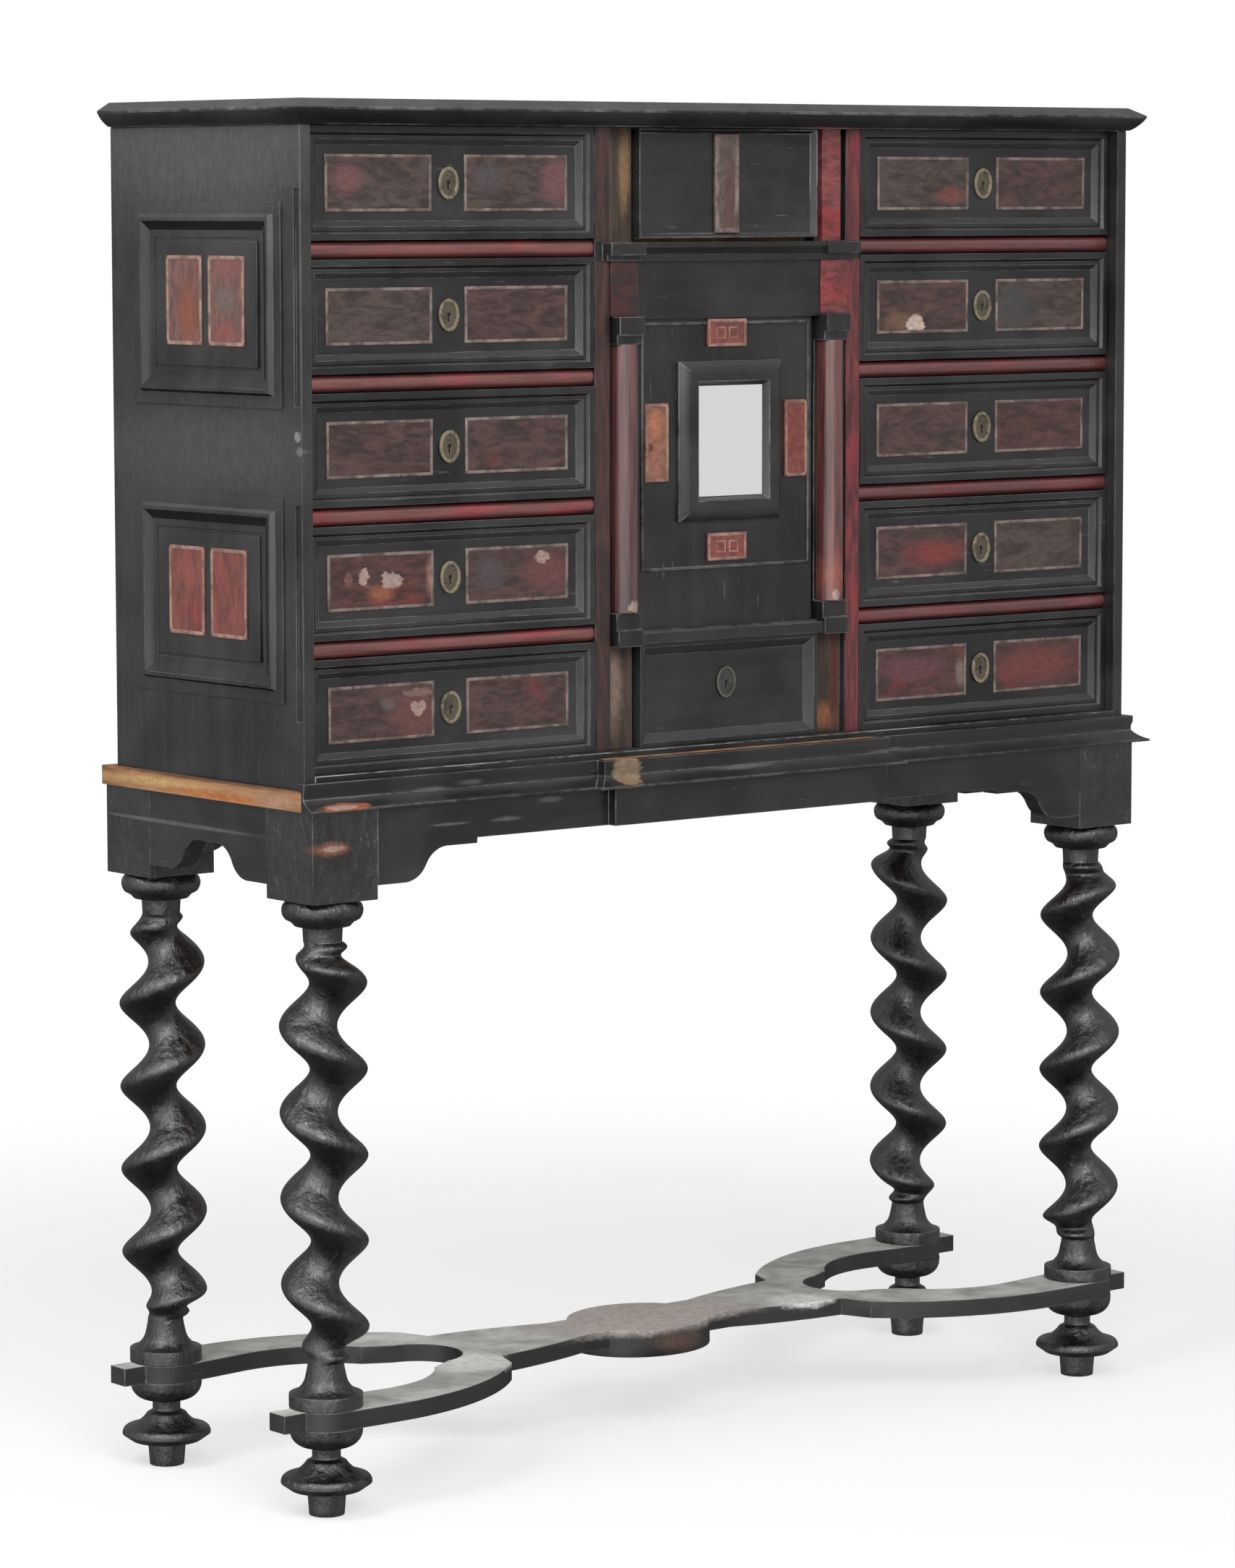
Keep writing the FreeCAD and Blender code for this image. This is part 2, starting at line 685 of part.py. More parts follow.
def build_aprons():
    """The four shaped aprons between the blocks."""
    for label, front in (("apron_front", "block_front"),
                         ("apron_back", "block_back - apron_thick")):
        body = new_body()
        edge = apron_edge("block_inner", "ogee_long", True)
        top = [("-(block_inner)", "frame_top"), ("block_inner", "frame_top")]
        padded(body, "XZ_Plane", edge + top, "apron_thick", reverse=True)
        place(body, "0", front)
        if label == "apron_front":
            low = "block_low + apron_step + ogee_rise + apron_shelf_rise"
            tablet = box(("-(break_half)", "break_half"),
                         ("block_front - break_reach", "block_front"), (low, "frame_top"))
            body = fuse(body, tablet)
        keep(body, label)
    span = "apron_half_deep"
    for label, side in (("apron_left", -1), ("apron_right", 1)):
        body = new_body()
        edge = apron_edge(span, "ogee_side", False)
        top = [(f"-({span})", "frame_top"), (span, "frame_top")]
        padded(body, "YZ_Plane", edge + top, "apron_thick", reverse=side > 0)
        place(body, f"{side} * block_outer", "stretcher_mid")
        keep(body, label)


def build_stand_top():
    """The board on the stand and the beak moulding on its front and right edges."""
    main = box(("-(case_half + board_over)", "case_half + board_lap"),
               ("case_front - board_lap", "block_back"), ("frame_top", "case_low"))
    tongue = box(("-(break_half)", "break_half"),
                 ("case_front - board_lap - break_reach", "case_front - board_lap"),
                 ("frame_top", "case_low"))
    ledge = box(("-(break_half)", "break_half"),
                ("case_front - break_reach", "case_front"), ("case_low", "case_low + lip_tall"))
    keep(fuse(main, tongue, ledge), "stand_top_board")
    start = "-(case_half + board_over)"
    run = [(start, "case_front"), ("-(break_half)", "case_front"),
           ("-(break_half)", "case_front - break_reach"),
           ("break_half", "case_front - break_reach"), ("break_half", "case_front"),
           ("case_half", "case_front"), ("case_half", "case_back")]
    bow_out, bow_up = NECK_BOW_SHARES
    reach = "(beak_reach - neck_reach)"
    section = [
        ("board_lap", "0"), ("beak_reach", "0"),
        ("beak_reach", "beak_tall",
         f"beak_reach - {bow_out} * {reach}",
         f"beak_tall + (1 - {bow_up}) * (neck_low - beak_tall)"),
        ("neck_reach", "neck_low"), ("neck_reach", "neck_high"),
        ("lip_reach", "lip_low"), ("lip_reach", "board_thick + lip_tall"),
        ("0", "board_thick + lip_tall"), ("0", "board_thick"), ("board_lap", "board_thick"),
    ]
    corners = [outward(corner, "case_front", "frame_top", -1) for corner in section]
    body = new_body()
    run_moulding(body, corners, "YZ_Plane", start, run, "XY_Plane")
    keep(body, "stand_moulding")


def outward(corner, face, level, sign):
    """A section's corner, given as reach and rise, put on a face at a level."""
    pairs = [corner[index:index + 2] for index in range(0, len(corner), 2)]
    moved = [(f"{face} + {sign} * ({reach})", f"{level} + {rise}") for reach, rise in pairs]
    return tuple(part for pair in moved for part in pair)


def build_case():
    """The carcase boards, the dust boards and the red rails."""
    for label, side in (("left", -1), ("right", 1)):
        board = box(("case_inner", "case_half"), ("case_front", "case_back"),
                    ("case_low", "bay_top"), side)
        if side < 0:
            board = cut(board, group(*side_grooves()))
        keep(board, f"case_side_{label}")
    inside = ("-(case_inner)", "case_inner")
    keep(box(("-(case_half)", "case_half"), ("case_front", "case_back"),
             ("bay_top", "case_top_high")), "case_top")
    keep(box(inside, ("case_front", "back_inner"), ("case_low", "bay_floor")), "case_bottom")
    keep(box(inside, ("back_inner", "case_back"), ("case_low", "bay_top")), "case_back")
    for label, side in (("left", -1), ("right", 1)):
        inner = ("pier_in", "pier_in + partition_thick")
        outer = ("pier_out - partition_thick", "pier_out")
        boards = [box(span, ("pier_back", "back_inner"), ("bay_floor", "bay_top"), side)
                  for span in (inner, outer)]
        keep(group(*boards), f"partition_{label}")
        dust = []
        rails = []
        for row in range(1, ROWS):
            top = f"bay_floor + {row} * row_pitch"
            dust.append(box(("pier_out", "case_inner"), ("dust_front", "back_inner"),
                            (f"{top} - dust_thick", top), side))
            rails.append(red_rail(f"{top} - rail_tall", top, side))
        keep(group(*dust), f"dust_boards_{label}")
        keep(group(*rails), f"shell_rails_{label}")


def side_grooves():
    """Two upright grooves close to the front edge of the left side."""
    front = "case_front + groove_setback"
    grooves = []
    for row, shift in ((0, "-groove_drop"), (1, "groove_lift")):
        low = f"{frame_foot(row)} + ({shift})"
        grooves.append(box(("case_half - groove_deep", "case_half"),
                           (front, f"{front} + groove_wide"),
                           (low, f"{low} + side_frame_tall + groove_longer"), -1))
    return grooves


def frame_foot(row):
    """The height at which a side frame starts: row 0 is the lower one, 1 the upper."""
    return f"case_low + side_frame_low + {row} * (side_frame_tall + side_frame_between)"


def red_rail(low, high, side):
    """A rail with a half-round front."""
    centre = "facade + rail_tall / 2"
    back = box(("pier_out", "case_inner"), (centre, "dust_front"), (low, high), side)
    front = doc.addObject("Part::Cylinder", "half_round")
    bind(front, "Radius", "rail_tall / 2")
    bind(front, "Height", "bay_wide")
    front.Placement.Rotation = FreeCAD.Rotation(V(0, 1, 0), 90)
    start = "pier_out" if side > 0 else "-(case_inner)"
    place(front, start, centre, f"({low}) + rail_tall / 2")
    return fuse(back, front)


def build_cornice():
    """The thin-edged cornice on the front and both sides."""
    bow_out, bow_up = CORNICE_BOW_SHARES
    rise = "(cornice_low - cornice_edge_low)"
    section = [
        ("0", "0"), ("2 * cornice_top_reach", "0",
                     f"{bow_out} * cornice_reach", f"{bow_up} * {rise} + cornice_top_reach"),
        ("cornice_reach", rise), ("cornice_reach", "cornice_low - cornice_edge_high"),
        ("cornice_top_reach", "cornice_low"), ("0", "cornice_low"),
    ]
    level = "case_top_high - cornice_low"
    corners = [outward(corner, "-(case_half)", level, -1) for corner in section]
    run = [("-(case_half)", "case_back"), ("-(case_half)", "case_front"),
           ("case_half", "case_front"), ("case_half", "case_back")]
    body = new_body()
    run_moulding(body, corners, "XZ_Plane", "-(case_back)", run, "XY_Plane")
    keep(body, "cornice")


def build_side_panels():
    """Two mitred frames with raised fields, and four shell plates, on each side."""
    step = "side_flat_wide + side_wall_wide"
    crest = f"{step} + side_crest_wide"
    bow_out, bow_in = SIDE_COVE_SHARES
    section = [
        ("0", "0"), ("side_flat_proud", "0"), ("side_flat_proud", "side_flat_wide"),
        ("side_frame_proud", step),
        ("side_frame_proud", crest, f"{bow_out} * side_frame_proud + side_flat_proud / 2",
         f"{crest} + {bow_in} * (side_frame_wide - ({crest}))"),
        ("side_flat_proud / 2", "side_frame_wide"), ("0", "side_frame_wide"),
    ]
    middle = "((case_front + case_back) / 2 - side_panel_forward)"
    reach = "(side_frame_deep / 2 - side_edge)"
    apart = "(side_shell_wide + side_shell_gap)"
    frames = []
    plates = []
    for side in (-1, 1):
        for row in (0, 1):
            low = frame_foot(row)
            body = new_body()
            frame_around(body, "side_frame_deep / 2", "0", "side_frame_tall", section)
            body.Placement.Rotation = FreeCAD.Rotation(V(0, 0, 1), 90 * side)
            frames.append(place(body, f"{side} * case_half", middle, low))
            field = "case_half + side_field_thick"
            frames.append(box(("case_half", field),
                              (f"{middle} - {reach}", f"{middle} + {reach}"),
                              (f"{low} + side_edge", f"{low} + side_frame_tall - side_edge"),
                              side))
            for pair in (-1, 1):
                centre = f"{middle} + {pair} * {apart} / 2"
                up = f"{low} + (side_frame_tall - side_shell_tall) / 2 + side_shell_rise"
                plates.append(box((field, f"{field} + shell_thick"),
                                  (f"{centre} - side_shell_wide / 2",
                                   f"{centre} + side_shell_wide / 2"),
                                  (up, f"{up} + side_shell_tall"), side))
    keep(group(*frames), "side_frames")
    keep(group(*plates), "side_shells")


def escutcheon(across, up, face):
    """An oval lock plate with its keyhole, upright on a front face."""
    oval = doc.addObject("Part::Ellipse", "oval")
    bind(oval, "MajorRadius", "lock_half_tall")
    bind(oval, "MinorRadius", "lock_half_wide")
    oval.Placement.Rotation = FreeCAD.Rotation(V(0, 0, 1), V(1, 0, 0), V(0, 1, 0), "XYZ")
    place(oval, across, face, up)
    plate = doc.addObject("Part::Extrusion", "lock_plate")
    plate.Base = oval
    plate.DirMode = "Custom"
    plate.Dir = V(0, -1, 0)
    plate.Solid = True
    bind(plate, "LengthFwd", "lock_thick")
    hole = doc.addObject("Part::Cylinder", "keyhole")
    bind(hole, "Radius", "keyhole_radius")
    bind(hole, "Height", "lock_thick")
    hole.Placement.Rotation = FreeCAD.Rotation(V(1, 0, 0), 90)
    place(hole, across, face, up)
    slot = box((f"{across} - keyhole_slot / 2", f"{across} + keyhole_slot / 2"),
               (f"{face} - lock_thick", face), (f"{up} - keyhole_drop", up))
    return cut(plate, fuse(hole, slot))


def moulded_front(centre, wide, low, high, border):
    """A drawer front: a slab with a mitred border of a given section."""
    half = f"({wide}) / 2"
    tall = f"(({high}) - ({low}))"
    body = new_body()
    slab = [(f"-({half})", "0"), (half, "0"), (half, tall), (f"-({half})", tall)]
    padded(body, "XZ_Plane", slab, "front_thick")
    frame_around(body, half, "0", tall, border)
    return place(body, centre, "drawer_back", low)


def plain_border(wide):
    """The section of a border with a narrow flat and one slope."""
    crest = "front_thick + border_proud"
    return [("front_thick", "0"), (crest, "0"), (crest, f"{wide} / 3"), ("front_thick", wide)]


def beaded_border():
    """The section of a border with a flat, a hollow line and an inner bead."""
    crest = "front_thick + border_proud"
    quirk = "border_flat + border_quirk"
    bead = "front_thick + border_proud * 2 / 3"
    return [
        ("front_thick", "0"), (crest, "0"), (crest, "border_flat"),
        ("front_thick + border_proud / 3", quirk), (bead, quirk),
        (bead, f"{quirk} + border_bead"), ("front_thick", "border_wide"),
    ]


def drawer_box(across, low, high, label):
    """An open-topped drawer box behind its front."""
    left, right = across
    outer = box((left, right), ("drawer_back", "drawer_back + box_deep"), (low, high))
    inner = box((f"({left}) + box_wall", f"({right}) - box_wall"),
                ("drawer_back + box_wall", "drawer_back + box_deep - box_wall"),
                (f"({low}) + box_floor", f"({high})"))
    return keep(cut(outer, inner), label)


def build_side_drawers():
    """Five drawers in each outer bay."""
    inset = "(drawer_wide / 2 - box_inset)"
    apart = "(plate_wide + plate_gap)"
    for label, side in (("left", -1), ("right", 1)):
        centre = f"{side} * bay_mid"
        for row in range(1, ROWS + 1):
            floor = f"bay_floor + {ROWS - row} * row_pitch"
            low = f"{floor} + drawer_gap_high"
            middle = f"{floor} + drawer_clear / 2"
            plates = []
            for pair in (-1, 1):
                spot = f"{centre} + {pair} * {apart} / 2"
                plates.append(box((f"{spot} - plate_wide / 2", f"{spot} + plate_wide / 2"),
                                  ("panel - shell_thick", "panel"),
                                  (f"{middle} - plate_tall / 2", f"{middle} + plate_tall / 2")))
            front = moulded_front(centre, "drawer_wide", low, f"{low} + drawer_tall",
                                  beaded_border())
            lock = escutcheon(centre, middle, "panel")
            name = f"drawer_{label}_{row}"
            keep(group(front, *plates, lock), f"{name}_front")
            drawer_box((f"{centre} - {inset}", f"{centre} + {inset}"), f"{floor} + runner_gap",
                       f"{floor} + drawer_clear - box_headroom", f"{name}_box")


def build_centre_drawers():
    """The attic drawer over the door and the plinth drawer under it."""
    wide = "(2 * middle_half)"
    half = "(middle_half - box_inset)"
    high = "bay_top - drawer_gap_high"
    front = moulded_front("0", wide, "attic_low", high, plain_border("attic_border"))
    edge = "attic_border + attic_strip_gap"
    strip = box(("-(attic_strip_half)", "attic_strip_half"),
                ("panel - attic_strip_thick", "panel"),
                (f"attic_low + {edge}", f"{high} - ({edge})"))
    keep(group(front, strip), "attic_drawer_front")
    drawer_box((f"-({half})", half), "cornice_mid_high + runner_gap",
               "bay_top - box_headroom", "attic_drawer_box")
    low = "bay_floor + drawer_gap_high"
    high = "plinth_top - drawer_gap_high"
    front = moulded_front("0", wide, low, high, plain_border("plinth_border"))
    middle = f"({low} + {high}) / 2 + plinth_lock_rise"
    keep(group(front, escutcheon("0", middle, "panel")), "plinth_drawer_front")
    drawer_box((f"-({half})", half), "bay_floor + runner_gap",
               "plinth_top - box_headroom", "plinth_drawer_box")


def build_centre():
    """Shelves, frieze and pilasters of the middle bay."""
    inside = ("-(pier_in)", "pier_in")
    shelf = box(inside, ("pier_back", "back_inner"), ("plinth_top", "door_low - door_low_gap"))
    nose = box(inside, ("pier_front - ledge_proud", "pier_back"),
               ("plinth_top", "plinth_top + ledge_tall"))
    sill = box(inside, ("door_front", "pier_back"), ("plinth_top", "door_low - door_low_gap"))
    socket = pivot_hole("door_low - door_low_gap - pivot_long", "door_low - door_low_gap")
    keep(cut(fuse(shelf, nose, sill), socket), "centre_shelf_lower")
    keep(box(inside, ("pier_back", "back_inner"), ("cornice_mid_low", "cornice_mid_high")),
         "centre_shelf_upper")
    frieze = box(inside, ("case_front + frieze_setback", "door_back"),
                 ("frieze_low", "cornice_mid_low"))
    socket = pivot_hole("frieze_low", "frieze_low + pivot_long")
    body = new_body()
    proud = "entablature_proud - strip_proud"
    section = [("pier_back", "0"), (f"pier_front - ({proud}) / 2", "0"),
               (f"pier_front - ({proud}) / 2", "entablature_tall / 3"),
               (f"pier_front - ({proud})", "entablature_tall * 3 / 4"),
               (f"pier_front - ({proud})", "entablature_tall"),
               ("pier_back", "entablature_tall")]
    padded(body, "YZ_Plane", section, "2 * pier_in", "-(pier_in)")
    place(body, "0", "0", "cornice_mid_low")
    keep(fuse(cut(frieze, socket), body), "centre_cornice")
    red = []
    for label, side in (("left", -1), ("right", 1)):
        keep(pilaster(side), f"pilaster_{label}")
        red += pilaster_shell(side)
    keep(group(*red), "pilaster_shells")


def pivot_hole(low, high):
    """A socket for one of the door's pivots."""
    return rod("pivot_radius + pivot_slack", f"({high}) - ({low})",
               "pivot_across", "pivot_back", low)


def pilaster(side):
    """The pier board, its raised outer strip and the black parts of the pilaster."""
    inner = ("pier_in", "pier_in + pilaster_wide")
    block = ("pier_in", "pier_in + entablature_wide")
    parts = [
        box(("pier_in", "pier_out"), ("ground", "pier_back"), ("bay_floor", "bay_top"), side),
        box(("pier_out - strip_wide", "pier_out"), ("pier_front", "ground"),
            ("bay_floor", "bay_top"), side),
    ]
    base = "bay_floor + pedestal_tall"
    stages = (
        (inner, "base_proud", base, f"{base} + base_tall / 2"),
        (inner, "base_proud * 2 / 3", f"{base} + base_tall / 2", f"{base} + base_tall"),
        (inner, "capital_proud * 2 / 3", "capital_low", "capital_low + capital_tall / 3"),
        (inner, "capital_proud", "capital_low + capital_tall / 3",
         "capital_low + capital_tall"),
        (block, "entablature_proud / 2", "cornice_mid_low",
         "cornice_mid_low + entablature_tall / 3"),
        (block, "entablature_proud", "cornice_mid_low + entablature_tall / 3",
         "cornice_mid_high"),
    )
    for span, proud, low, high in stages:
        parts.append(box(span, (f"pier_front - {proud}", "ground"), (low, high), side))
    return fuse(*parts)


def pilaster_shell(side):
    """The red pieces: stilted half column, blocks and flat strips.

    The left pilaster has lost its attic block.
    """
    centre = f"{side} * (pier_in + pilaster_wide / 2)"
    low = "bay_floor + pedestal_tall + base_tall"
    high = "capital_low"
    column = rod("column_radius", f"{high} - ({low})", centre, "pier_front", low)
    back = box((f"{centre} - pilaster_wide", f"{centre} + pilaster_wide"),
               ("pier_front", "pier_front + 2 * column_radius"), (low, high))
    stilt = box((f"{centre} - column_radius", f"{centre} + column_radius"),
                ("pier_front", "ground"), (low, high))
    block_top = "cornice_mid_low"
    reds = [
        fuse(cut(column, back), stilt),
        box(("pier_in", "pier_in + block_red_wide"), ("pier_front - block_red_proud", "ground"),
            (f"{block_top} - block_red_tall", block_top), side),
    ]
    if side > 0:
        start = "pier_in + attic_block_inset"
        reds.append(box((start, f"{start} + attic_block_wide"), ("pier_front", "ground"),
                        ("cornice_mid_high", "bay_top")))
    for start, end in (("bay_floor", "cornice_mid_low"), ("cornice_mid_high", "bay_top")):
        reds.append(box(("pier_out - strip_wide", "pier_out"),
                        ("pier_front - strip_proud", "pier_front"), (start, end), side))
    return reds


def build_door():
    """The middle door: leaf with its pivots, mouldings, mirror and plaques."""
    leaf = box(("door_left", "door_right"), ("door_front", "door_back"),
               ("door_low", "door_high"))
    pins = [rod("pivot_radius", "pivot_long", "pivot_across", "pivot_back", low)
            for low in ("door_low - pivot_long", "door_high")]
    keep(fuse(leaf, *pins), "door_leaf")
    middle = "(door_left + door_right) / 2"
    glass_low = "(door_low + mirror_clear_low + bolection_wide)"
    centre = f"({glass_low} + mirror_half_tall)"
    glass = f"{middle} + mirror_across"
    rise = "(bolection_proud - bolection_edge)"
    bow_out, bow_in = BOLECTION_BOW_SHARES
    body = new_body()
    section = [
        ("0", "0"), ("bolection_edge", "0", f"bolection_edge + {bow_out} * {rise}",
                     f"{bow_in} * bolection_wide"),
        ("bolection_proud", "bolection_wide * 2 / 3"),
        ("bolection_proud", "bolection_wide * 5 / 6"),
        ("bolection_edge", "bolection_wide"), ("0", "bolection_wide"),
    ]
    frame_around(body, "mirror_half_wide + bolection_wide", "0",
                 "2 * (mirror_half_tall + bolection_wide)", section)
    bolection = place(body, glass, "door_front", f"{glass_low} - bolection_wide")
    body = new_body()
    section = [("0", "0"), ("line_proud", "line_wide / 4"),
               ("line_proud", "line_wide * 3 / 4"), ("0", "line_wide")]
    frame_around(body, "door_half - line_inset", "0",
                 "door_high - door_low - line_low - line_inset", section)
    line = place(body, middle, "door_front", "door_low + line_low")
    half = "plaque_wide / 2"
    top = "door_high - plaque_edge"
    broken = box((f"{middle} - {half} - line_gap", f"{middle} + {half} + line_gap"),
                 ("door_front - 2 * line_proud", "door_front"),
                 (f"{top} - plaque_tall", "door_high"))
    keep(group(bolection, cut(line, broken)), "door_mouldings")
    wide = "(mirror_half_wide - mirror_gap)"
    keep(box((f"{glass} - {wide}", f"{glass} + {wide}"),
             ("door_front - mirror_thick", "door_front"),
             (f"{glass_low} + mirror_gap", f"{centre} + mirror_half_tall - mirror_gap")),
         "door_mirror")
    face = ("door_front - plaque_proud", "door_front")
    low = "door_low + plaque_low_high"
    plaques = [box((f"{middle} - {half}", f"{middle} + {half}"), face, span)
               for span in ((f"{top} - plaque_tall", top), (low, f"{low} + plaque_tall"))]
    for side in (-1, 1):
        spot = f"{middle} + {side} * (door_half - plaque_side_edge - plaque_side_wide / 2)"
        plaques.append(box((f"{spot} - plaque_side_wide / 2", f"{spot} + plaque_side_wide / 2"),
                           face, (f"{centre} - plaque_side_tall / 2",
                                  f"{centre} + plaque_side_tall / 2")))
    keep(group(*plaques), "door_plaques")


def write_pieces():
    """Check every object, then write each piece to its own file."""
    doc.recompute()
    for item in doc.Objects:
        if "Invalid" in item.State or "Error" in item.State:
            raise RuntimeError(f"{item.Label} did not rebuild: {item.State}")
    for piece in pieces:
        if piece.Shape.isNull() or not piece.Shape.isValid():
            raise RuntimeError(f"{piece.Label} has no sound shape")
    os.makedirs("parts", exist_ok=True)
    for piece in pieces:
        piece.Shape.exportStep(f"parts/{piece.Label}.step")
    print(len(pieces), "pieces written")


fill_sheet()
build_feet()
build_stretcher()
build_legs()
build_aprons()
build_stand_top()
build_case()
build_cornice()
build_side_panels()
build_side_drawers()
build_centre_drawers()
build_centre()
build_door()
write_pieces()
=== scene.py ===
"""Looks of an ebonised cabinet of drawers on a twist-turned stand.

Everything is in metres, in the cabinet's own frame: X to the right,
Y to the back, Z up, with the origin on the floor under its middle.
"""
import json
import logging
import math
from collections.abc import Callable
from dataclasses import dataclass, field, replace
from enum import Enum

import bmesh
import bpy
from mathutils import Matrix, Vector

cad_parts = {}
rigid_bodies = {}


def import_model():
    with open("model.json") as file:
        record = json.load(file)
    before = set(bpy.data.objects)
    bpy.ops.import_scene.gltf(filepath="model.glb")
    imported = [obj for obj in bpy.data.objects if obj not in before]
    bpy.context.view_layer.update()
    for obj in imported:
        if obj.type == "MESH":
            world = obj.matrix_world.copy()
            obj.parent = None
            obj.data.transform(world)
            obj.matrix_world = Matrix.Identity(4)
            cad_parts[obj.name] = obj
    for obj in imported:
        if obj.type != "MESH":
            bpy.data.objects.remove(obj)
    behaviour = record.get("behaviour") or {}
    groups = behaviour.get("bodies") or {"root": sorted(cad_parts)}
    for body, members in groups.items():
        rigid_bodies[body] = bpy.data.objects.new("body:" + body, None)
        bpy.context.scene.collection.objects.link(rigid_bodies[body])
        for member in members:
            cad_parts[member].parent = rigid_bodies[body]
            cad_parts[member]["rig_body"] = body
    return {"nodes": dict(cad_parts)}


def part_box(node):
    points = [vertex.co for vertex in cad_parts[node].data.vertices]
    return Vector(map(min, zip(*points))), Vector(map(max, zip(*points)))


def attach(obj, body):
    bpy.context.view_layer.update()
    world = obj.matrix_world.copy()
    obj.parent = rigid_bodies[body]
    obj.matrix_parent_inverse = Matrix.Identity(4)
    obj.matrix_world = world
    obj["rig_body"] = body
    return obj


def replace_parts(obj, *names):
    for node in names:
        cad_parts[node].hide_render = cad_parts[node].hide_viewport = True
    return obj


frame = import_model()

LOG = logging.getLogger("cabinet")
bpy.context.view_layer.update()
WEAR = "edge_wear"
WELD = 0.00002
CREST = 0.4
ORIGIN = (0.0, 0.0, 0.0)
Triple = tuple[float, float, float]
Mesh = bmesh.types.BMesh
Face = bmesh.types.BMFace
Socket = bpy.types.NodeSocket
Picker = Callable[[Face], int]
Outputs = dict[str, object]
Builder = Callable[["Tree", object], Outputs]


class Grain(Enum):
    """The direction that the fibres of a board run in."""

    ACROSS = 0
    DEEP = 1
    UPRIGHT = 2


class Facing(Enum):
    """Which way a small flat piece looks, as its heading in degrees from the front."""

    FRONT = 0
    LEFT = -90
    RIGHT = 90

    def stand(self, spot: Vector) -> Matrix:
        """Return the move that stands a piece, drawn lying face up, at a spot."""
        heading = Matrix.Rotation(math.radians(self.value), 4, "Z")
        upright = Matrix.Rotation(math.radians(90), 4, "X")
        return Matrix.Translation(spot) @ heading @ upright


# Node trees


@dataclass
class Tree:
    """A node tree with short ways to add and join its nodes."""

    tree: bpy.types.NodeTree

    def add(self, kind: str, **settings: object) -> bpy.types.Node:
        """Add a node of a type, written without ShaderNode, and set its attributes."""
        node = self.tree.nodes.new(f"ShaderNode{kind}")
        for name, value in settings.items():
            setattr(node, name, value)
        return node

    def feed(self, socket: Socket, source: object) -> None:
        """Put a value or another node's output into a socket."""
        if isinstance(source, Socket):
            self.tree.links.new(source, socket)
        else:
            socket.default_value = source

    def fill(self, node: bpy.types.Node, sources: dict[object, object]) -> object:
        """Feed the inputs of a node, by name or number, and return its outputs."""
        for key, source in sources.items():
            self.feed(node.inputs[key], source)
        return node.outputs

    def math(self, operation: str, first: object, second: object,
             clamp: bool = False) -> Socket:
        """Add a Math node and return its output."""
        node = self.add("Math", operation=operation, use_clamp=clamp)
        return self.fill(node, {0: first, 1: second})[0]

    def vector(self, operation: str, *sources: object) -> object:
        """Add a Vector Math node and return its outputs."""
        return self.fill(self.add("VectorMath", operation=operation), dict(enumerate(sources)))

    def span(self, value: object, low: object, high: object, start: object = 0.0,
             end: object = 1.0) -> Socket:
        """Map a value smoothly from low..high to start..end."""
        node = self.add("MapRange", interpolation_type="SMOOTHSTEP")
        return self.fill(node, {"Value": value, "From Min": low, "From Max": high,
                                "To Min": start, "To Max": end})["Result"]

    def blend(self, first: object, second: object, share: float) -> Socket:
        """Add a share of one value to the rest of another."""
        return self.math("ADD", self.math("MULTIPLY", first, 1.0 - share),
                         self.math("MULTIPLY", second, share))

    def mix(self, factor: object, *colours: object) -> Socket:
        """Mix two colours and return the result."""
        first, second = ((*item, 1.0) if isinstance(item, tuple) else item for item in colours)
        node = self.add("Mix", data_type="RGBA")
        return self.fill(node, {0: factor, 6: first, 7: second})[2]

    def noise(self, vector: object, scale: float, detail: float = 3.0, rough: float = 0.55,
              bend: float = 0.0) -> Socket:
        """Add a noise texture and return its value."""
        return self.fill(self.add("TexNoise"), {
            "Vector": vector, "Scale": scale, "Detail": detail, "Roughness": rough,
            "Distortion": bend})["Fac"]


@dataclass
class Effect:
    """A shader node group that several finishes share.

    Attributes:
        inputs: The default of each input, a number or a vector.
        build: Adds its nodes to a tree, given its inputs, and returns its outputs by name.
    """

    inputs: dict[str, object]
    build: Builder

    def group(self) -> bpy.types.NodeTree:
        """Return the group, made the first time that it is asked for."""
        known = bpy.data.node_groups.get(self.build.__name__)
        if known:
            return known
        group = bpy.data.node_groups.new(self.build.__name__, "ShaderNodeTree")
        for name, default in self.inputs.items():
            kind = "NodeSocketVector" if isinstance(default, tuple) else "NodeSocketFloat"
            socket = group.interface.new_socket(name, in_out="INPUT", socket_type=kind)
            socket.default_value = default
        tree = Tree(group)
        made = self.build(tree, group.nodes.new("NodeGroupInput").outputs)
        for name in made:
            group.interface.new_socket(name, in_out="OUTPUT", socket_type="NodeSocketFloat")
        tree.fill(group.nodes.new("NodeGroupOutput"), made)
        return group

    def place(self, tree: Tree, **sources: object) -> object:
        """Put the group in a tree, feed its inputs and return its outputs."""
        return tree.fill(tree.add("Group", node_tree=self.group()), sources)


def effect(**inputs: object) -> Callable[[Builder], Effect]:
    """Turn the function that follows into an effect with these inputs."""
    return lambda build: Effect(inputs, build)


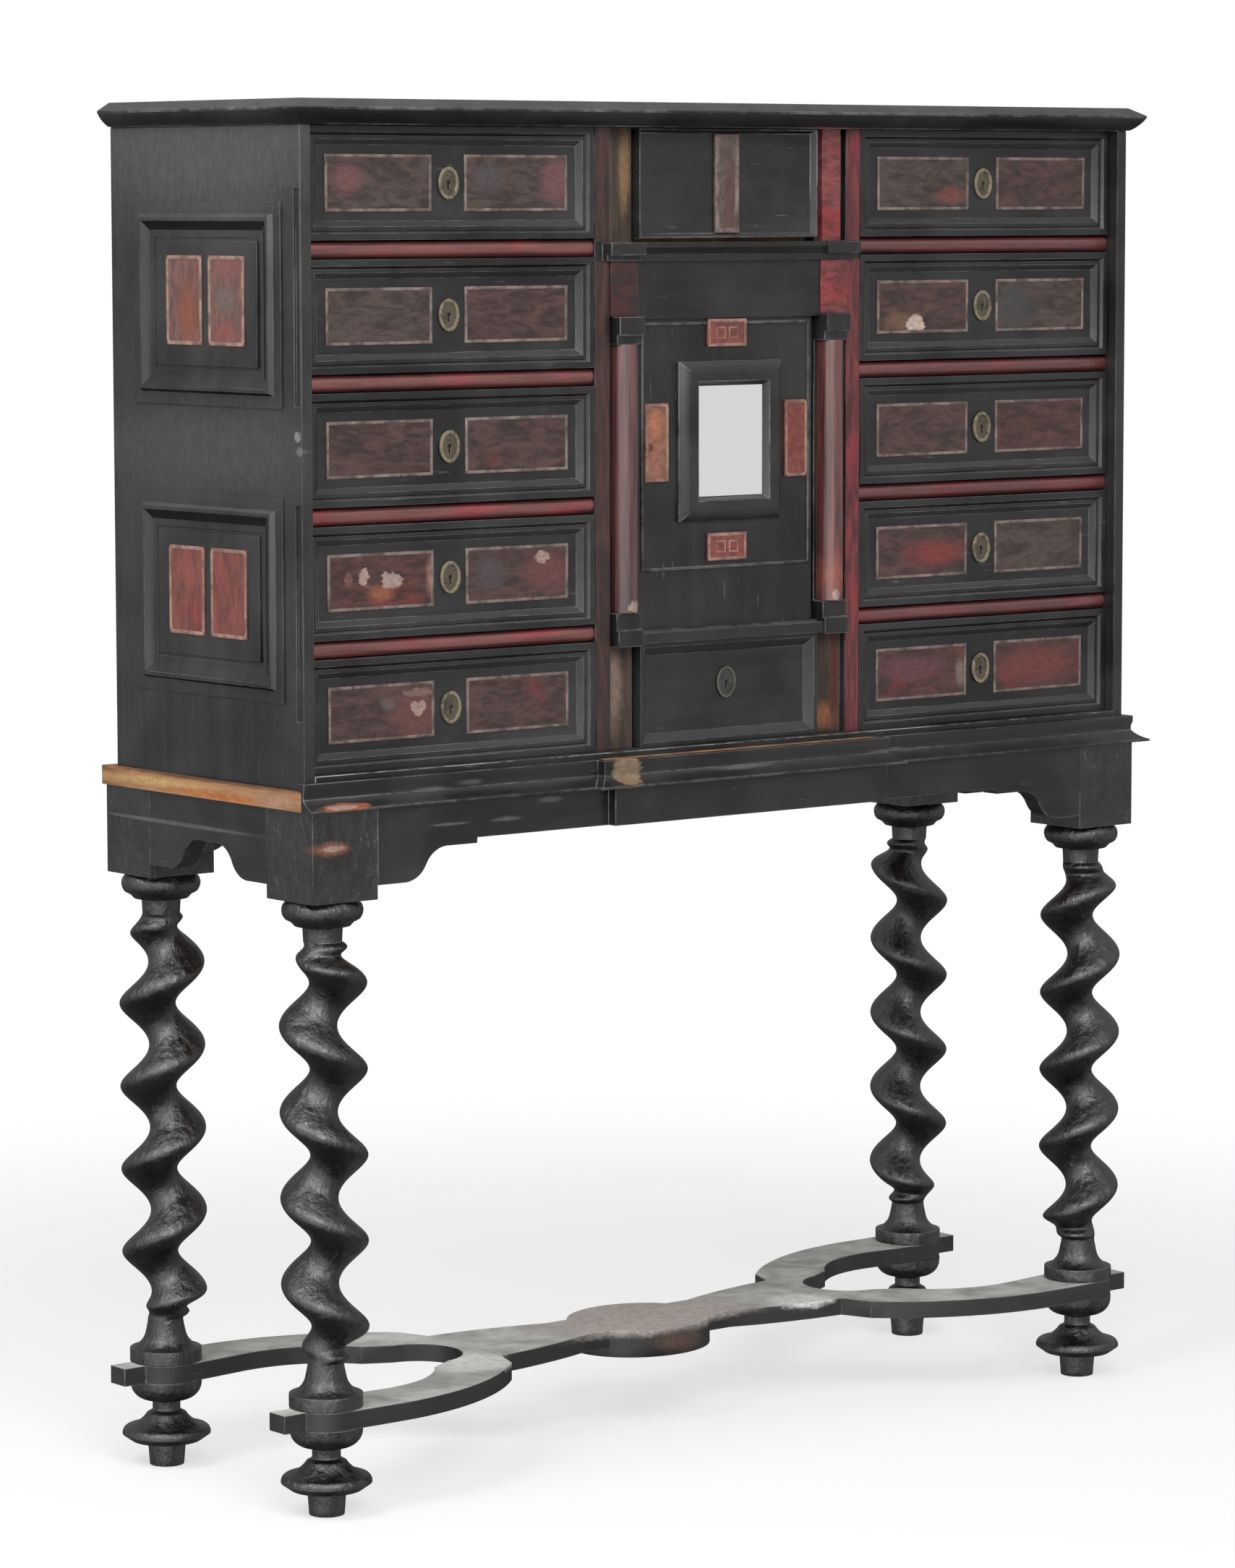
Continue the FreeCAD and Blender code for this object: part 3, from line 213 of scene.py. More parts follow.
@effect(Vector=ORIGIN, Stretched=ORIGIN)
def wood_grain(tree: Tree, given: object) -> Outputs:
    """Fibres, pores and slow changes of tone in a board."""
    along = given["Stretched"]
    streak = tree.noise(along, 26.0, 5.0, 0.62, 0.35)
    fibre = tree.noise(along, 140.0, 3.0, 0.6, 0.1)
    pores = tree.noise(along, 420.0, 2.0, 0.5)
    slow = tree.noise(given["Vector"], 6.5, 3.0, 0.55, 0.6)
    return {"Streak": tree.span(streak, 0.32, 0.7), "Fibre": tree.blend(fibre, pores, 0.4),
            "Slow": tree.span(slow, 0.34, 0.68)}


@effect(Vector=ORIGIN, Edge=0.0)
def edge_loss(tree: Tree, given: object) -> Outputs:
    """Where handling has rubbed the black off edges, in broken stretches."""
    broken = tree.noise(given["Vector"], 45.0, 5.0, 0.7, 0.4)
    slow = tree.noise(given["Vector"], 8.0, 2.0, 0.5)
    lost = tree.span(tree.blend(broken, slow, 0.45), 0.42, 0.62)
    return {"Mask": tree.math("MULTIPLY", lost, given["Edge"], True)}


@effect(Vector=ORIGIN, Stretched=ORIGIN)
def scuffs(tree: Tree, given: object) -> Outputs:
    """Short pale scratches that follow the grain, in some stretches only."""
    lines = tree.span(tree.noise(given["Stretched"], 260.0, 2.0, 0.5), 0.66, 0.74)
    patches = tree.span(tree.noise(given["Vector"], 16.0, 4.0, 0.65, 0.7), 0.5, 0.66)
    return {"Mask": tree.math("MULTIPLY", lines, patches, True)}


@effect(Vector=ORIGIN, Centre=ORIGIN, Reach=(1.0, 1.0, 1.0), Ragged=0.5, Soft=0.25, Uneven=0.5)
def bare_or_painted_light_place(tree: Tree, given: object) -> Outputs:
    """One ragged place where a skin of veneer is gone, or where light is painted on, inside an
    ellipsoid.
    """
    away = tree.vector("SUBTRACT", given["Vector"], given["Centre"])[0]
    scaled = tree.vector("DIVIDE", away, given["Reach"])[0]
    length = tree.vector("LENGTH", scaled)["Value"]
    offset = tree.math("MULTIPLY", tree.math("SUBTRACT", given["Uneven"], 0.5), given["Ragged"])
    edge = tree.math("ADD", length, offset)
    soft = tree.math("MULTIPLY", given["Soft"], 0.5)
    return {"Mask": tree.span(edge, tree.math("ADD", soft, 0.95),
                              tree.math("SUBTRACT", 0.95, soft))}


@effect(Vector=ORIGIN, Normal=(0.0, 0.0, 1.0), Amount=0.5)
def dust(tree: Tree, given: object) -> Outputs:
    """Grey dust and bloom on faces that look up."""
    height = tree.fill(tree.add("SeparateXYZ"), {0: given["Normal"]})["Z"]
    patchy = tree.noise(given["Vector"], 22.0, 5.0, 0.65, 0.5)
    cover = tree.math("MULTIPLY", tree.span(height, 0.35, 0.95),
                      tree.span(patchy, 0.25, 0.75, 0.45, 1.0))
    return {"Mask": tree.math("MULTIPLY", cover, given["Amount"], True)}


@effect(Vector=ORIGIN, Stretched=ORIGIN)
def shell_mottle(tree: Tree, given: object) -> Outputs:
    """The clouded, drawn-out blotches of polished shell."""
    cloud = tree.noise(given["Stretched"], 62.0, 5.0, 0.65, 1.2)
    fine = tree.noise(given["Stretched"], 190.0, 4.0, 0.65, 0.6)
    slow = tree.noise(given["Vector"], 13.0, 2.0, 0.5, 0.3)
    return {"Cloud": tree.span(tree.blend(cloud, fine, 0.35), 0.38, 0.62), "Fine": fine,
            "Slow": slow}


@dataclass(frozen=True)
class SoftBox:
    """One bright part of the studio, as glossy faces mirror it.

    Attributes:
        towards: The direction that it lies in.
        level: How bright it is.
    """

    towards: Triple
    level: float


ROOM_LEVEL = 0.12
SOFT_BOXES = (
    SoftBox((0.62, -0.77, 0.12), 0.62),
    SoftBox((-0.76, 0.6, 0.25), 0.45),
    SoftBox((-0.8, -0.5, 0.33), 2.5),
    SoftBox((0.0, -0.25, 0.97), 0.8),
)


@effect(Incoming=ORIGIN)
def surround(tree: Tree, given: object) -> Outputs:
    """What a glossy face mirrors: a dark room with its soft boxes."""
    total = ROOM_LEVEL
    for box in SOFT_BOXES:
        away = tuple(-part for part in box.towards)
        facing = tree.vector("DOT_PRODUCT", given["Incoming"], away)["Value"]
        total = tree.math("ADD", total, tree.span(facing, 0.25, 0.95, 0.0, box.level))
    return {"Strength": total}


# Finishes


THROUGH = 0.03
PLATE_PLANE = -0.149
LIP_PLANE = -0.19
SIDE_PLANE = -0.593


@dataclass(frozen=True)
class Place:
    """An ellipsoid in the cabinet's frame where a finish is chipped or stained, or where light is
    painted on.

    Attributes:
        centre: Its middle, in metres.
        reach: Its half sizes, in metres.
        colour: What shows there.
        ragged: How uneven its edge is.
        soft: How wide its edge is, as a share of its reach.
    """

    centre: Triple
    reach: Triple
    colour: Triple
    ragged: float = 0.6
    soft: float = 0.25


def chip_or_painted_glint(across: float, up: float, half_wide: float, half_tall: float, colour: Triple,
         ragged: float = 1.0, back: float = PLATE_PLANE) -> Place:
    """Return a chip, or a painted glint, on the cabinet's front; its arguments are metres and a
    colour.
    """
    return Place((across, back, up), (half_wide, THROUGH, half_tall), colour, ragged)


def stain(across: float, up: float, half_wide: float, half_tall: float, colour: Triple,
          back: float = PLATE_PLANE) -> Place:
    """Return a soft stain on the cabinet's front; its arguments are metres and a colour, as for a
    chip.
    """
    return Place((across, back, up), (half_wide, THROUGH, half_tall), colour, 1.3, 1.1)


def side_chip_or_painted_light(back: float, up: float, half_deep: float, half_tall: float, colour: Triple,
              soft: float = 0.25) -> Place:
    """Return a place on the cabinet's left side; its arguments are metres and a colour."""
    return Place((SIDE_PLANE, back, up), (THROUGH, half_deep, half_tall), colour, 1.0, soft)


@dataclass
class Recipe(Tree):
    """The node tree of a material.

    Attributes:
        shader: Its Principled BSDF.
        coords: Object coordinates.
    """

    shader: bpy.types.Node
    coords: Socket

    def stretch(self, grain: Grain, ratio: float, fine: float = 1.0) -> Socket:
        """Squeeze the coordinates along the grain, so that a pattern is drawn out there."""
        scale = [fine, fine, fine]
        scale[grain.value] = fine / ratio
        return self.fill(self.add("Mapping"), {"Vector": self.coords, "Scale": scale})[0]

    def pattern(self, group: Effect, along: Socket) -> object:
        """Place an effect that has a slow part and a part drawn out along the grain."""
        return group.place(self, Vector=self.coords, Stretched=along)

    def wear(self) -> Socket:
        """Return the mask of the softened arrises."""
        return self.add("Attribute", attribute_name=WEAR).outputs["Fac"]

    def rubbed(self) -> Socket:
        """Return the mask of the softened arrises that are rubbed bare."""
        return edge_loss.place(self, Vector=self.coords, Edge=self.wear())[0]

    def bump(self, height: object, depth: float) -> None:
        """Give the shader a bump of a depth in metres."""
        made = self.fill(self.add("Bump"), {"Strength": 1.0, "Distance": depth, "Height": height})
        self.feed(self.shader.inputs["Normal"], made[0])


@dataclass(frozen=True)
class Finish:
    """What every finish has: a name, its own material, and chipped, stained or painted-light places.

    Attributes:
        name: The material's name.
        places: Where it is chipped or stained, or where light is painted on.
        grain: Which way its fibres or clouds run.
    """

    name: str
    places: tuple[Place, ...] = ()
    grain: Grain = Grain.ACROSS

    def material(self) -> bpy.types.Material:
        """Return the material, made the first time that it is asked for."""
        known = bpy.data.materials.get(self.name)
        if known:
            return known
        made = bpy.data.materials.new(self.name)
        made.use_nodes = True
        coords = made.node_tree.nodes.new("ShaderNodeTexCoord").outputs["Object"]
        self.build(Recipe(made.node_tree, made.node_tree.nodes["Principled BSDF"], coords))
        return made

    def build(self, tree: Recipe) -> None:
        """Fill the material; each finish has its own nodes."""
        raise NotImplementedError

    def finish_off(self, tree: Recipe, colour: object, rough: object,
                   specular: float = 0.5) -> None:
        """Lay the chipped, stained and painted-light places over a colour and roughness, and give
        both to the shader.

        Args:
            tree: The material's tree.
            colour: The colour of the sound finish.
            rough: Its roughness.
            specular: How strongly it mirrors.
        """
        if self.places:
            drawn = tree.stretch(self.grain, 2.2)
            uneven = tree.blend(tree.noise(drawn, 105.0, 5.0, 0.6, 0.3),
                                tree.noise(drawn, 340.0, 3.0, 0.6), 0.45)
            mottled = tree.span(tree.noise(drawn, 260.0, 3.0, 0.6), 0.34, 0.66)
        for place in self.places:
            mask = bare_or_painted_light_place.place(tree, Vector=tree.coords, Centre=place.centre, Reach=place.reach,
                                    Ragged=place.ragged, Soft=place.soft, Uneven=uneven)[0]
            dull = tuple(part * 0.7 for part in place.colour)
            colour = tree.mix(mask, colour, tree.mix(mottled, dull, place.colour))
            rough = tree.math("MAXIMUM", rough, tree.math("MULTIPLY", mask, 0.62))
        tree.fill(tree.shader, {"Base Color": colour, "Roughness": rough,
                                "Specular IOR Level": specular})


@dataclass(frozen=True)
class Ebonised(Finish):
    """Black-stained, waxed wood with worn edges and lost veneer.

    Attributes:
        deep: The black in its fibres.
        tone: The grey-black of its surface.
        worn: The colour of a rubbed edge; on the lip it is pale, partly real wear and partly a
            painted highlight.
        grey: The colour of its dust.
        dusty: How much dust its upper faces carry.
        rough: Its mean roughness.
        shine: How strongly it mirrors.
        relief: The depth of its grain, in metres.
    """

    deep: Triple = (0.003, 0.003, 0.0035)
    tone: Triple = (0.02, 0.0203, 0.0212)
    worn: Triple = (0.12, 0.112, 0.106)
    grey: Triple = (0.155, 0.15, 0.146)
    dusty: float = 0.3
    rough: float = 0.4
    shine: float = 0.38
    relief: float = 0.00025

    def build(self, tree: Recipe) -> None:
        """Fill the material."""
        along = tree.stretch(self.grain, 14.0)
        wood = tree.pattern(wood_grain, along)
        scuffed = tree.pattern(scuffs, along)[0]
        normal = tree.add("NewGeometry").outputs["Normal"]
        bloom = dust.place(tree, Vector=tree.coords, Normal=normal, Amount=self.dusty)[0]
        colour = tree.mix(tree.blend(wood["Streak"], wood["Slow"], 0.55), self.deep, self.tone)
        colour = tree.mix(tree.math("MULTIPLY", scuffed, 0.55), colour, self.worn)
        colour = tree.mix(bloom, colour, self.grey)
        colour = tree.mix(tree.rubbed(), colour, self.worn)
        rough = tree.math("ADD", tree.math("MULTIPLY", wood["Slow"], 0.26), self.rough - 0.13)
        rough = tree.math("ADD", rough, tree.math("MULTIPLY", bloom, 0.3), True)
        self.finish_off(tree, colour, rough, self.shine)
        tree.bump(tree.blend(wood["Fibre"], wood["Streak"], 0.4), self.relief)


@dataclass(frozen=True)
class BlackTurning(Finish):
    """Black turned wood whose old polish is pitted and broken up.

    Attributes:
        deep: The black of its hollows.
        tone: The grey-black of its swellings.
        worn: The brown of its rubbed spots and edges; the spots are partly painted speckled
            highlights.
        rough: Its mean roughness.
    """

    deep: Triple = (0.002, 0.002, 0.0022)
    tone: Triple = (0.0105, 0.01, 0.01)
    worn: Triple = (0.1, 0.092, 0.085)
    rough: float = 0.25

    def build(self, tree: Recipe) -> None:
        """Fill the material."""
        along = tree.stretch(self.grain, 2.0)
        pits = tree.noise(along, 95.0, 5.0, 0.66, 0.5)
        slow = tree.span(tree.noise(tree.coords, 17.0, 4.0, 0.6, 0.4), 0.34, 0.66)
        # Pale spots: partly rubbed wear and partly painted speckled highlights on the turnings.
        spots = tree.span(tree.noise(along, 110.0, 4.0, 0.7), 0.6, 0.72)
        spots = tree.math("MULTIPLY", spots, slow)
        colour = tree.mix(slow, self.deep, self.tone)
        colour = tree.mix(tree.math("MULTIPLY", spots, 0.7), colour, self.worn)
        colour = tree.mix(tree.rubbed(), colour, self.worn)
        rough = tree.math("ADD", tree.math("MULTIPLY", pits, 0.2), self.rough - 0.1)
        self.finish_off(tree, colour, rough, 0.55)
        tree.bump(tree.blend(pits, slow, 0.2), 0.0034)


@dataclass(frozen=True)
class BareWood(Finish):
    """Old bare wood inside the case and where veneer is missing.

    Attributes:
        light: Its early wood.
        dark: Its late wood and pores.
    """

    light: Triple = (0.4, 0.225, 0.115)
    dark: Triple = (0.17, 0.085, 0.038)

    def build(self, tree: Recipe) -> None:
        """Fill the material."""
        along = tree.stretch(self.grain, 12.0)
        wood = tree.pattern(wood_grain, along)
        lines = tree.span(tree.blend(wood["Streak"], wood["Fibre"], 0.74), 0.32, 0.68)
        colour = tree.mix(lines, self.dark, self.light)
        colour = tree.mix(tree.math("MULTIPLY", wood["Slow"], 0.2), colour, self.dark)
        rough = tree.math("ADD", tree.math("MULTIPLY", wood["Fibre"], 0.2), 0.62)
        self.finish_off(tree, colour, rough, 0.3)
        tree.bump(tree.blend(wood["Fibre"], wood["Streak"], 0.33), 0.0003)


@dataclass(frozen=True)
class Shell(Finish):
    """Polished shell over a red ground, dark where the shell is thick.

    Attributes:
        ground: The red that shows through.
        clear: The colour of thin shell.
        thick: The colour of thick shell.
        redness: How much of it shows the ground, from 0 to 1.
        ratio: How far the clouds are drawn out.
        fine: How small the clouds are, against those of a drawer's plate.
        coat: How glossy its polish is, from 0 to 1.
    """

    ground: Triple = (0.1, 0.02, 0.018)
    clear: Triple = (0.067, 0.032, 0.028)
    thick: Triple = (0.018, 0.009, 0.008)
    redness: float = 0.3
    ratio: float = 3.0
    fine: float = 1.0
    coat: float = 0.12

    def build(self, tree: Recipe) -> None:
        """Fill the material."""
        along = tree.stretch(self.grain, self.ratio, self.fine)
        shell = tree.pattern(shell_mottle, along)
        colour = tree.mix(shell["Cloud"], self.thick, self.clear)
        red = tree.span(tree.blend(shell["Slow"], shell["Fine"], 0.25),
                        0.72 - 0.35 * self.redness, 0.82 - 0.35 * self.redness)
        ground = tree.mix(shell["Cloud"], tuple(part * 0.5 for part in self.ground), self.ground)
        colour = tree.mix(red, colour, ground)
        rough = tree.math("ADD", tree.math("MULTIPLY", shell["Fine"], 0.3), 0.24)
        self.finish_off(tree, colour, rough, 0.42)
        tree.fill(tree.shader, {"Coat Weight": self.coat, "Coat Roughness": 0.25})
        tree.bump(shell["Fine"], 0.0002)


@dataclass(frozen=True)
class Metal(Finish):
    """Old metal with tarnish in its hollows.

    Attributes:
        clean: The colour of rubbed metal.
        tarnish: The colour of its tarnish.
        rough: Its mean roughness.
        metallic: How metallic the rubbed part is.
    """

    clean: Triple = (0.27, 0.225, 0.15)
    tarnish: Triple = (0.075, 0.062, 0.042)
    rough: float = 0.42
    metallic: float = 0.75

    def build(self, tree: Recipe) -> None:
        """Fill the material."""
        spots = tree.noise(tree.coords, 260.0, 4.0, 0.6)
        slow = tree.noise(tree.coords, 60.0, 2.0, 0.5)
        dull = tree.span(tree.blend(spots, slow, 0.5), 0.43, 0.6)
        dull = tree.math("SUBTRACT", dull, tree.math("MULTIPLY", tree.wear(), 0.5), True)
        rough = tree.math("ADD", tree.math("MULTIPLY", dull, 0.3), self.rough - 0.1)
        self.finish_off(tree, tree.mix(dull, self.clean, self.tarnish), rough)
        metallic = tree.math("SUBTRACT", self.metallic, tree.math("MULTIPLY", dull, 0.35))
        tree.fill(tree.shader, {"Metallic": metallic})
        tree.bump(spots, 0.0002)


@dataclass(frozen=True)
class Silvered(Finish):
    """Silvered glass that has gone a little grey and spotted.

    Attributes:
        silver: The colour of sound silvering.
        fog: The colour of its spots.
    """

    silver: Triple = (0.88, 0.88, 0.885)
    fog: Triple = (0.5, 0.49, 0.48)

    def build(self, tree: Recipe) -> None:
        """Fill the material."""
        spots = tree.span(tree.noise(tree.coords, 160.0, 5.0, 0.7), 0.66, 0.8)
        rough = tree.math("ADD", spots, 0.06, True)
        self.finish_off(tree, tree.mix(spots, self.silver, self.fog), rough)
        tree.fill(tree.shader, {"Metallic": 0.95})


@dataclass(frozen=True)
class Bone(Finish):
    """The thin pale line let in round each shell plate.

    Attributes:
        pale: Its clean colour.
        stained: Its stained colour.
    """

    pale: Triple = (0.2, 0.15, 0.135)
    stained: Triple = (0.06, 0.042, 0.038)

    def build(self, tree: Recipe) -> None:
        """Fill the material."""
        patchy = tree.span(tree.noise(tree.coords, 52.0, 5.0, 0.65, 0.3), 0.34, 0.66)
        rough = tree.math("ADD", tree.math("MULTIPLY", patchy, 0.2), 0.4)
        colour = tree.mix(patchy, self.stained, self.pale)
        self.finish_off(tree, colour, rough, 0.4)
        tree.bump(patchy, 0.0001)


CHALK = (0.3, 0.21, 0.18)
PINK = (0.125, 0.05, 0.052)
VIVID = (0.15, 0.026, 0.024)
ORANGE = (0.21, 0.07, 0.03)
RAW = (0.2, 0.135, 0.085)
SCUFF = (0.075, 0.074, 0.073)

SCUFF_SPOTS = (
    (-0.433, 0.771, 0.022, 0.0022), (-0.38, 0.775, 0.016, 0.003),
    (-0.277, 0.75, 0.014, 0.003), (-0.414, 0.733, 0.024, 0.0016),
    (-0.336, 0.733, 0.018, 0.002), (-0.012, 0.768, 0.036, 0.0024),
    (0.21, 0.772, 0.03, 0.0018),
)
RAW_PLACES = (
    *(stain(*spot, SCUFF, LIP_PLANE) for spot in SCUFF_SPOTS),
    chip_or_painted_glint(-0.176, 0.774, 0.021, 0.018, RAW, 1.2, LIP_PLANE),
    chip_or_painted_glint(-0.552, 0.761, 0.034, 0.0042, ORANGE, 1.0, -0.195),
    chip_or_painted_glint(-0.556, 0.761, 0.022, 0.002, CHALK, 1.0, -0.195),
)
BLOCK_PLACES = (
    Place((-0.569, -0.187, 0.718), (0.024, 0.03, 0.0075), (0.14, 0.044, 0.022), 1.4, 0.7),
    Place((-0.566, -0.187, 0.718), (0.015, 0.03, 0.0032), (0.3, 0.2, 0.16), 1.4, 0.7),
    Place((-0.6, 0.06, 0.7245), (0.03, 0.15, 0.0024), SCUFF, 1.0, 0.6),
)
BLACK = Ebonised("ebonised_across", RAW_PLACES)
BLACK_DEEP = Ebonised("ebonised_deep", BLOCK_PLACES, Grain.DEEP)
BLACK_UP = Ebonised("ebonised_upright", RAW_PLACES, Grain.UPRIGHT)
# The lip's pale rubbed edges are partly real wear and partly a painted highlight along its top edge.
BLACK_LIP_WEAR_AND_HIGHLIGHT = Ebonised("ebonised_lip_wear_and_highlight", RAW_PLACES, worn=(0.3, 0.29, 0.28), dusty=0.1)
BLACK_BEAK = Ebonised("ebonised_beak", RAW_PLACES, worn=(0.085, 0.082, 0.08), dusty=0.05)
BLACK_SIDE = Ebonised(
    "ebonised_side",
    # The wide pale place at the top paints the side lighter towards the top, painted light from
    # above; the one across the middle makes it lighter there.
    (side_chip_or_painted_light(0.0, 1.475, 0.26, 0.11, (0.052, 0.052, 0.049), 1.2),
     side_chip_or_painted_light(0.0, 1.13, 0.26, 0.05, (0.036, 0.036, 0.034), 1.4),
     side_chip_or_painted_light(-0.163, 1.147, 0.006, 0.006, (0.17, 0.165, 0.16)),
     side_chip_or_painted_light(-0.166, 1.132, 0.005, 0.005, (0.12, 0.118, 0.115))),
    Grain.UPRIGHT, tone=(0.022, 0.022, 0.0215), worn=(0.06, 0.058, 0.056), shine=0.42)
# Painted shade: a near-black copy of the side's finish, given to the side frames' faces that look
# down or back.
BLACK_PAINTED_SHADE = replace(BLACK_SIDE, name="ebonised_painted_shade", deep=(0.0012, 0.0012, 0.0013),
                       tone=(0.006, 0.006, 0.006), shine=0.1, places=())
BLACK_FLOOR = Ebonised(
    "ebonised_stretcher",
    (Place((0.0, 0.0, 0.118), (0.135, 0.08, 0.01), (0.46, 0.41, 0.38), 1.2, 1.0),
     Place((-0.3, -0.07, 0.119), (0.052, 0.048, 0.01), (0.72, 0.71, 0.69), 1.4, 0.7),
     Place((0.205, -0.04, 0.119), (0.04, 0.034, 0.01), (0.74, 0.73, 0.71), 1.4, 0.7),
     Place((0.085, -0.072, 0.112), (0.032, 0.022, 0.012), (0.5, 0.49, 0.47), 1.4, 0.7),
     Place((0.0, -0.08, 0.102), (0.06, 0.02, 0.014), (0.07, 0.042, 0.03), 1.2, 0.8)),
    tone=(0.02, 0.019, 0.0185), grey=(0.52, 0.52, 0.5), dusty=1.0, rough=0.5)
TURNING = BlackTurning("black_turning", BLOCK_PLACES, Grain.UPRIGHT)
OAK = BareWood("oak_across")
OAK_DEEP = BareWood("oak_deep", grain=Grain.DEEP)
OAK_UP = BareWood("oak_upright", grain=Grain.UPRIGHT)
OAK_EDGE = BareWood(
    "oak_edge",
    (Place((-0.61, 0.09, 0.768), (0.03, 0.08, 0.005), (0.46, 0.29, 0.12), 1.2, 0.9),
     Place((-0.61, -0.02, 0.762), (0.03, 0.1, 0.005), (0.38, 0.14, 0.045), 1.2, 0.9),
     Place((-0.61, -0.13, 0.766), (0.03, 0.04, 0.009), (0.34, 0.19, 0.12), 1.2, 0.9),
     Place((-0.61, 0.0, 0.779), (0.03, 0.22, 0.0035), (0.085, 0.034, 0.02), 1.2, 0.9)),
    Grain.DEEP, (0.36, 0.195, 0.092), (0.15, 0.066, 0.029))
GROUND = BareWood(
    "bare_ground",
    (stain(-0.141, 1.422, 0.008, 0.04, (0.2, 0.125, 0.065)),
     stain(-0.158, 0.858, 0.012, 0.045, (0.19, 0.135, 0.105)),
     stain(0.148, 0.812, 0.02, 0.014, (0.22, 0.09, 0.045)),
     stain(0.161, 0.86, 0.006, 0.06, (0.085, 0.026, 0.02))),
    Grain.UPRIGHT, (0.1, 0.07, 0.052), (0.028, 0.019, 0.015))

MAUVE = Shell("shell_mauve")
BROWN = replace(MAUVE, name="shell_brown", clear=(0.064, 0.042, 0.035),
                thick=(0.018, 0.012, 0.01), redness=0.12)
RUSSET = replace(MAUVE, name="shell_russet", clear=(0.08, 0.028, 0.024),
                 thick=(0.022, 0.009, 0.008), ground=(0.125, 0.02, 0.018), redness=0.5)


def plate(place: str, base: Shell, *places: Place) -> Shell:
    """Return a shell as it is on one drawer's plate, with its own chips and stains."""
    return replace(base, name=f"plate_{place}", places=places)


PLATES = {
    "left_1": (
        plate("left_1_outer", BROWN, stain(-0.515, 1.413, 0.02, 0.015, PINK)),
        plate("left_1_inner", BROWN,
              stain(-0.33, 1.413, 0.022, 0.015, (0.055, 0.043, 0.044)),
              stain(-0.238, 1.413, 0.02, 0.024, PINK))),
    "left_2": (BROWN, MAUVE),
    "left_3": (MAUVE, MAUVE),
    "left_4": (
        plate("left_4_outer", RUSSET,
              stain(-0.474, 0.979, 0.016, 0.008, ORANGE),
              chip_or_painted_glint(-0.497, 0.997, 0.007, 0.011, CHALK, 3.6),
              chip_or_painted_glint(-0.516, 0.994, 0.005, 0.009, PINK, 3.4),
              chip_or_painted_glint(-0.46, 0.993, 0.015, 0.008, CHALK, 3.4),
              stain(-0.407, 0.994, 0.007, 0.02, (0.24, 0.12, 0.1))),
        plate("left_4_inner", MAUVE,
              stain(-0.33, 0.993, 0.022, 0.02, (0.052, 0.037, 0.04)),
              stain(-0.25, 0.993, 0.03, 0.02, (0.105, 0.032, 0.032)),
              chip_or_painted_glint(-0.258, 1.008, 0.009, 0.007, CHALK, 3.0))),
    "left_5": (
        plate("left_5_outer", MAUVE,
              stain(-0.425, 0.85, 0.038, 0.028, (0.1, 0.035, 0.032)),
              stain(-0.466, 0.861, 0.009, 0.006, (0.085, 0.068, 0.06)),
              chip_or_painted_glint(-0.431, 0.857, 0.0055, 0.006, CHALK, 0.6),
              chip_or_painted_glint(-0.421, 0.857, 0.0055, 0.006, CHALK, 0.6),
              chip_or_painted_glint(-0.426, 0.851, 0.006, 0.0055, CHALK, 0.6),
              chip_or_painted_glint(-0.424, 0.871, 0.022, 0.0045, (0.15, 0.09, 0.072), 3.4)),
        MAUVE),
    "right_1": (
        plate("right_1_inner", BROWN, stain(0.334, 1.396, 0.02, 0.009, (0.14, 0.038, 0.034))),
        replace(MAUVE, name="plate_right_1_outer", redness=0.5)),
    "right_2": (
        plate("right_2_inner", MAUVE,
              stain(0.256, 1.254, 0.022, 0.01, (0.13, 0.068, 0.036)),
              chip_or_painted_glint(0.281, 1.251, 0.014, 0.01, (0.46, 0.35, 0.29), 2.2)),
        plate("right_2_outer", BROWN, stain(0.435, 1.268, 0.028, 0.026, (0.038, 0.036, 0.033)))),
    "right_3": (MAUVE, replace(RUSSET, name="plate_right_3_outer", redness=0.3)),
    "right_4": (plate("right_4_inner", MAUVE, stain(0.312, 0.989, 0.048, 0.015, VIVID)), BROWN),
    "right_5": (
        plate("right_5_inner", RUSSET,
              stain(0.275, 0.858, 0.052, 0.014, (0.1, 0.032, 0.038)),
              stain(0.352, 0.85, 0.007, 0.014, (0.17, 0.12, 0.105))),
        plate("right_5_outer", RUSSET, stain(0.47, 0.852, 0.06, 0.02, (0.13, 0.03, 0.026)))),
}
RAIL_LEFT = Shell("rail_left", ground=(0.21, 0.03, 0.033), clear=(0.16, 0.046, 0.04),
                  thick=(0.075, 0.022, 0.019), redness=0.55, ratio=14.0, coat=0.5)
RAIL_RIGHT = replace(RAIL_LEFT, name="rail_right", ground=(0.17, 0.024, 0.027),
                     clear=(0.13, 0.031, 0.031), thick=(0.07, 0.018, 0.018))
# The columns' strong, drawn-out upright streaks are partly shell clouds and partly painted
# highlights running down them.
COLUMN_LEFT = Shell(
    "column_left", (chip_or_painted_glint(-0.146, 0.95, 0.011, 0.01, CHALK, 1.2),), Grain.UPRIGHT,
    ground=(0.14, 0.04, 0.04), clear=(0.128, 0.048, 0.048), thick=(0.014, 0.006, 0.006),
    redness=0.15, ratio=40.0, fine=2.2, coat=0.4)
COLUMN_RIGHT = replace(
    COLUMN_LEFT, name="column_right", places=(
        stain(0.152, 0.972, 0.018, 0.026, (0.24, 0.065, 0.04)),
        chip_or_painted_glint(0.146, 0.95, 0.006, 0.009, CHALK, 1.2)),
    ground=(0.18, 0.028, 0.032), clear=(0.14, 0.046, 0.043), thick=(0.016, 0.006, 0.006),
    redness=0.4)
